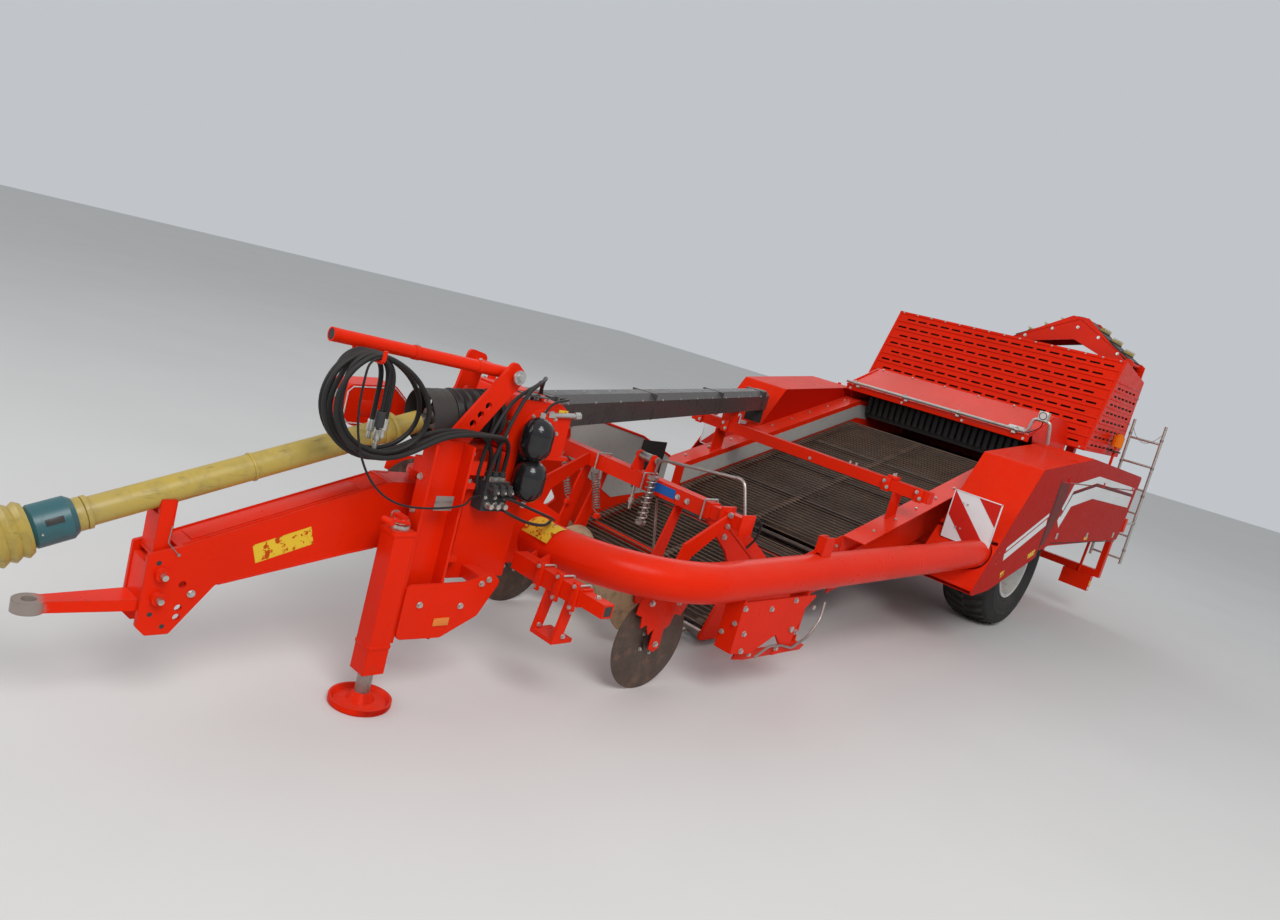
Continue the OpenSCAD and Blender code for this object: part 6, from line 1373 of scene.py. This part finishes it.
def dress_rear():
    steel = kit("rear_bolts")
    black = kit("lamp_cases", "chassis", "black_plastic")
    lens = {"lamp_red": (1.225, 1.3), "lamp_orange": (1.315, 1.385), "lamp_clear": (1.4, 1.455)}
    for s in (-1, 1):
        low, high = sorted((s * 1.18, s * 1.5))
        black.block((5.1395, low + 0.012, 0.32), (5.147, high - 0.012, 0.46), 0.004)
        for finish, (a, b) in lens.items():
            a, b = sorted((s * a, s * b))
            kit("rear_" + finish, "chassis", finish).block((5.146, a, 0.335), (5.156, b, 0.445), 0.003)
        y = s * 1.5
        a, b = sorted((y, y + s * 0.001))
        kit("rear_labels", "chassis", "label_yellow").block((5.072, a, 0.365), (5.128, b, 0.425), 0.0)
        kit("rear_side_lens", "chassis", "lamp_clear").block((5.066, a, 0.312), (5.134, b, 0.348), 0.0)
        # Hangers of the light boxes and bolts of the rear member
        kit("rear_details", "chassis", "paint_red").rod((5.1, s * 1.34, 0.48), (5.15, s * 1.34, 1.062), 0.03,
                                                        10)
        for y in (0.3, 0.7, 1.1, 1.5):
            steel.bolts([(5.2005, s * y, 1.11), (5.2005, s * y, 1.18)], X, 0.016)
    plate = kit("blank_plate", "chassis", "board_white")
    plate.block((5.2005, -0.26, 0.465), (5.2025, 0.26, 0.575), 0.001)
    # Beacon: base ring and its screws
    black.rod((4.9, -1.325, 1.905), (4.9, -1.325, 1.922), 0.128, 32, soft=0.002)
    for p in circle((4.9, -1.325, 1.9), 0.052, 3, along=Y):
        steel.stud(p, 0.012 * Z, 0.01)
    # Ladder: rung grips, clamps and the chain at its top
    a, b = Vector((5.6, 0, 0.66)), Vector((5.47, 0, 2.33))
    rungs = kit("ladder_grips", "chassis", "bare_steel")
    for t in (0.1, 0.3, 0.5, 0.7, 0.9):
        p = a.lerp(b, t)
        for y in (-1.61, -1.27):
            rungs.rod((p.x, y, p.z - 0.014), (p.x - 0.002, y, p.z + 0.014), 0.04, 14)
    spans = [k / 22 for k in range(23)]
    chain = [Vector((5.475, -1.61 + 0.34 * t, 2.25 - 0.64 * t * (1 - t))) for t in spans]
    for i, (p, q) in enumerate(zip(chain, chain[1:])):
        side = (X if i % 2 else Z) * 0.006
        half = (q - p) * 0.62
        link = ((-1, 0), (-0.5, 1), (0.5, 1), (1, 0), (0.5, -1), (-0.5, -1), (-1, 0))
        rungs.pipe([(p + q) / 2 + half * a + side * b for a, b in link], 0.0035, 6)


# Power shaft: guard rings, slots and grease nipple of its collar, rings of the bell

SHAFT_START, SHAFT_WAY = Vector((-3.7, -0.7, 1.344)), Vector((-0.9432, 0, -0.3322))


def dress_shaft():
    rings = kit("guard_rings", "power_shaft", "yellow_plastic")
    for s, d, w in ((0.26, 0.15, 0.02), (0.3, 0.124, 0.03), (0.92, 0.122, 0.012), (1.54, 0.13, 0.018)):
        p = SHAFT_START + SHAFT_WAY * s
        rings.rod(p, p + SHAFT_WAY * w, d, 36, soft=0.002)
    # The guard's cone inside the bell, and the bell's soft mouth
    cone = [(0.044, 0.13), (0.052, 0.13), (0.052, 0.28), (0.044, 0.28), (0.044, 0.13)]
    rings.turned(cone, SHAFT_START, SHAFT_WAY, 36)
    # Black patches for the collar's slots: painted shade in the slots
    slot = kit("collar_slot_shade", "power_shaft", "black_plastic")
    place = toward(SHAFT_START + SHAFT_WAY * 1.665, SHAFT_WAY)
    for a in (0.4, 2.5, 4.6):
        turn = place @ Matrix.Rotation(a, 4, "Z")
        slot.block((0.0795, -0.012, -0.03), (0.0835, 0.012, 0.03), 0.001, turn)
    grease = kit("collar_nipple", "power_shaft", "zinc")
    grease.rod(place @ Vector((0.081, 0, 0.05)), place @ Vector((0.094, 0, 0.05)), 0.008, 8)
    bell = kit("bell_rings", "chassis", "black_rubber")
    way = Vector((0.9925, 0, 0.1219))
    mouth = [(0.121, 0.01), (0.127, 0.01), (0.132, -0.118), (0.128, -0.122), (0.121, 0.01)]
    bell.turned(mouth, SHAFT_START, way, 44)
    folds = [(-0.09, 0.131), (-0.03, 0.129), (0.275, 0.126)] + [(s, 0.125) for s in (0.035, 0.1, 0.16, 0.22)]
    for s, r in folds:
        fold = [(0.121, 0.0), (r, 0.004), (r, 0.01), (0.121, 0.014), (0.121, 0.0)]
        bell.turned(fold, SHAFT_START + way * s, way, 40)


# Cords with their plugs

CABLE_TAIL = 0.07


def hose_plug(name, end):
    plug = kit(name, "chassis", "zinc")
    plug.rod(end - 0.085 * Z, end - 0.05 * Z, 0.02, 20, soft=0.0015)
    plug.rod(end - 0.078 * Z, end - 0.072 * Z, 0.0219, 20)
    plug.rod(end - 0.05 * Z, end, 0.034, 28, soft=0.002)
    plug.rod(end - 0.034 * Z, end - 0.02 * Z, 0.0338, 6)
    return plug


def make_cords():
    plugs = []
    for name, diameter, steps, length, far_end in CORDS:
        route = [Vector(p) for p in CORD_ROUTES[name]]
        cable = name == "cable_1"
        start = route[0] + (STUB * X if cable else -STUB * Z)
        end = route[-1] - STUB * Z
        points = [start] + eased(route, steps) + [end]
        cord = tube_curve(name + "_run", points, diameter, "black_rubber")
        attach(cord, "chassis")
        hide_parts(name)
        if cable:
            plug = kit("cable_plug", "chassis", "black_plastic")
            plug.rod(end - CABLE_TAIL * Z, end, 0.04, 28, soft=0.003)
            plug.rod(end - 0.012 * Z, end, 0.0398, 8)
        else:
            plug = hose_plug(name + "_plug", end)
        plugs.append((cord, plug, start, length, diameter, far_end))
    return plugs


def declare_cords(plugs, pieces):
    for cord, plug, start, length, diameter, far_end in plugs:
        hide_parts("hose_plugs")


cords = make_cords()
dress_wheels()
dress_boards()
dress_covers()
dress_drawbar()
dress_head()
dress_tube()
dress_toolbar()
dress_intake()
dress_channel()
dress_hood()
dress_elevator()
dress_rear()
dress_shaft()
declare_cords(cords, finish_kits())
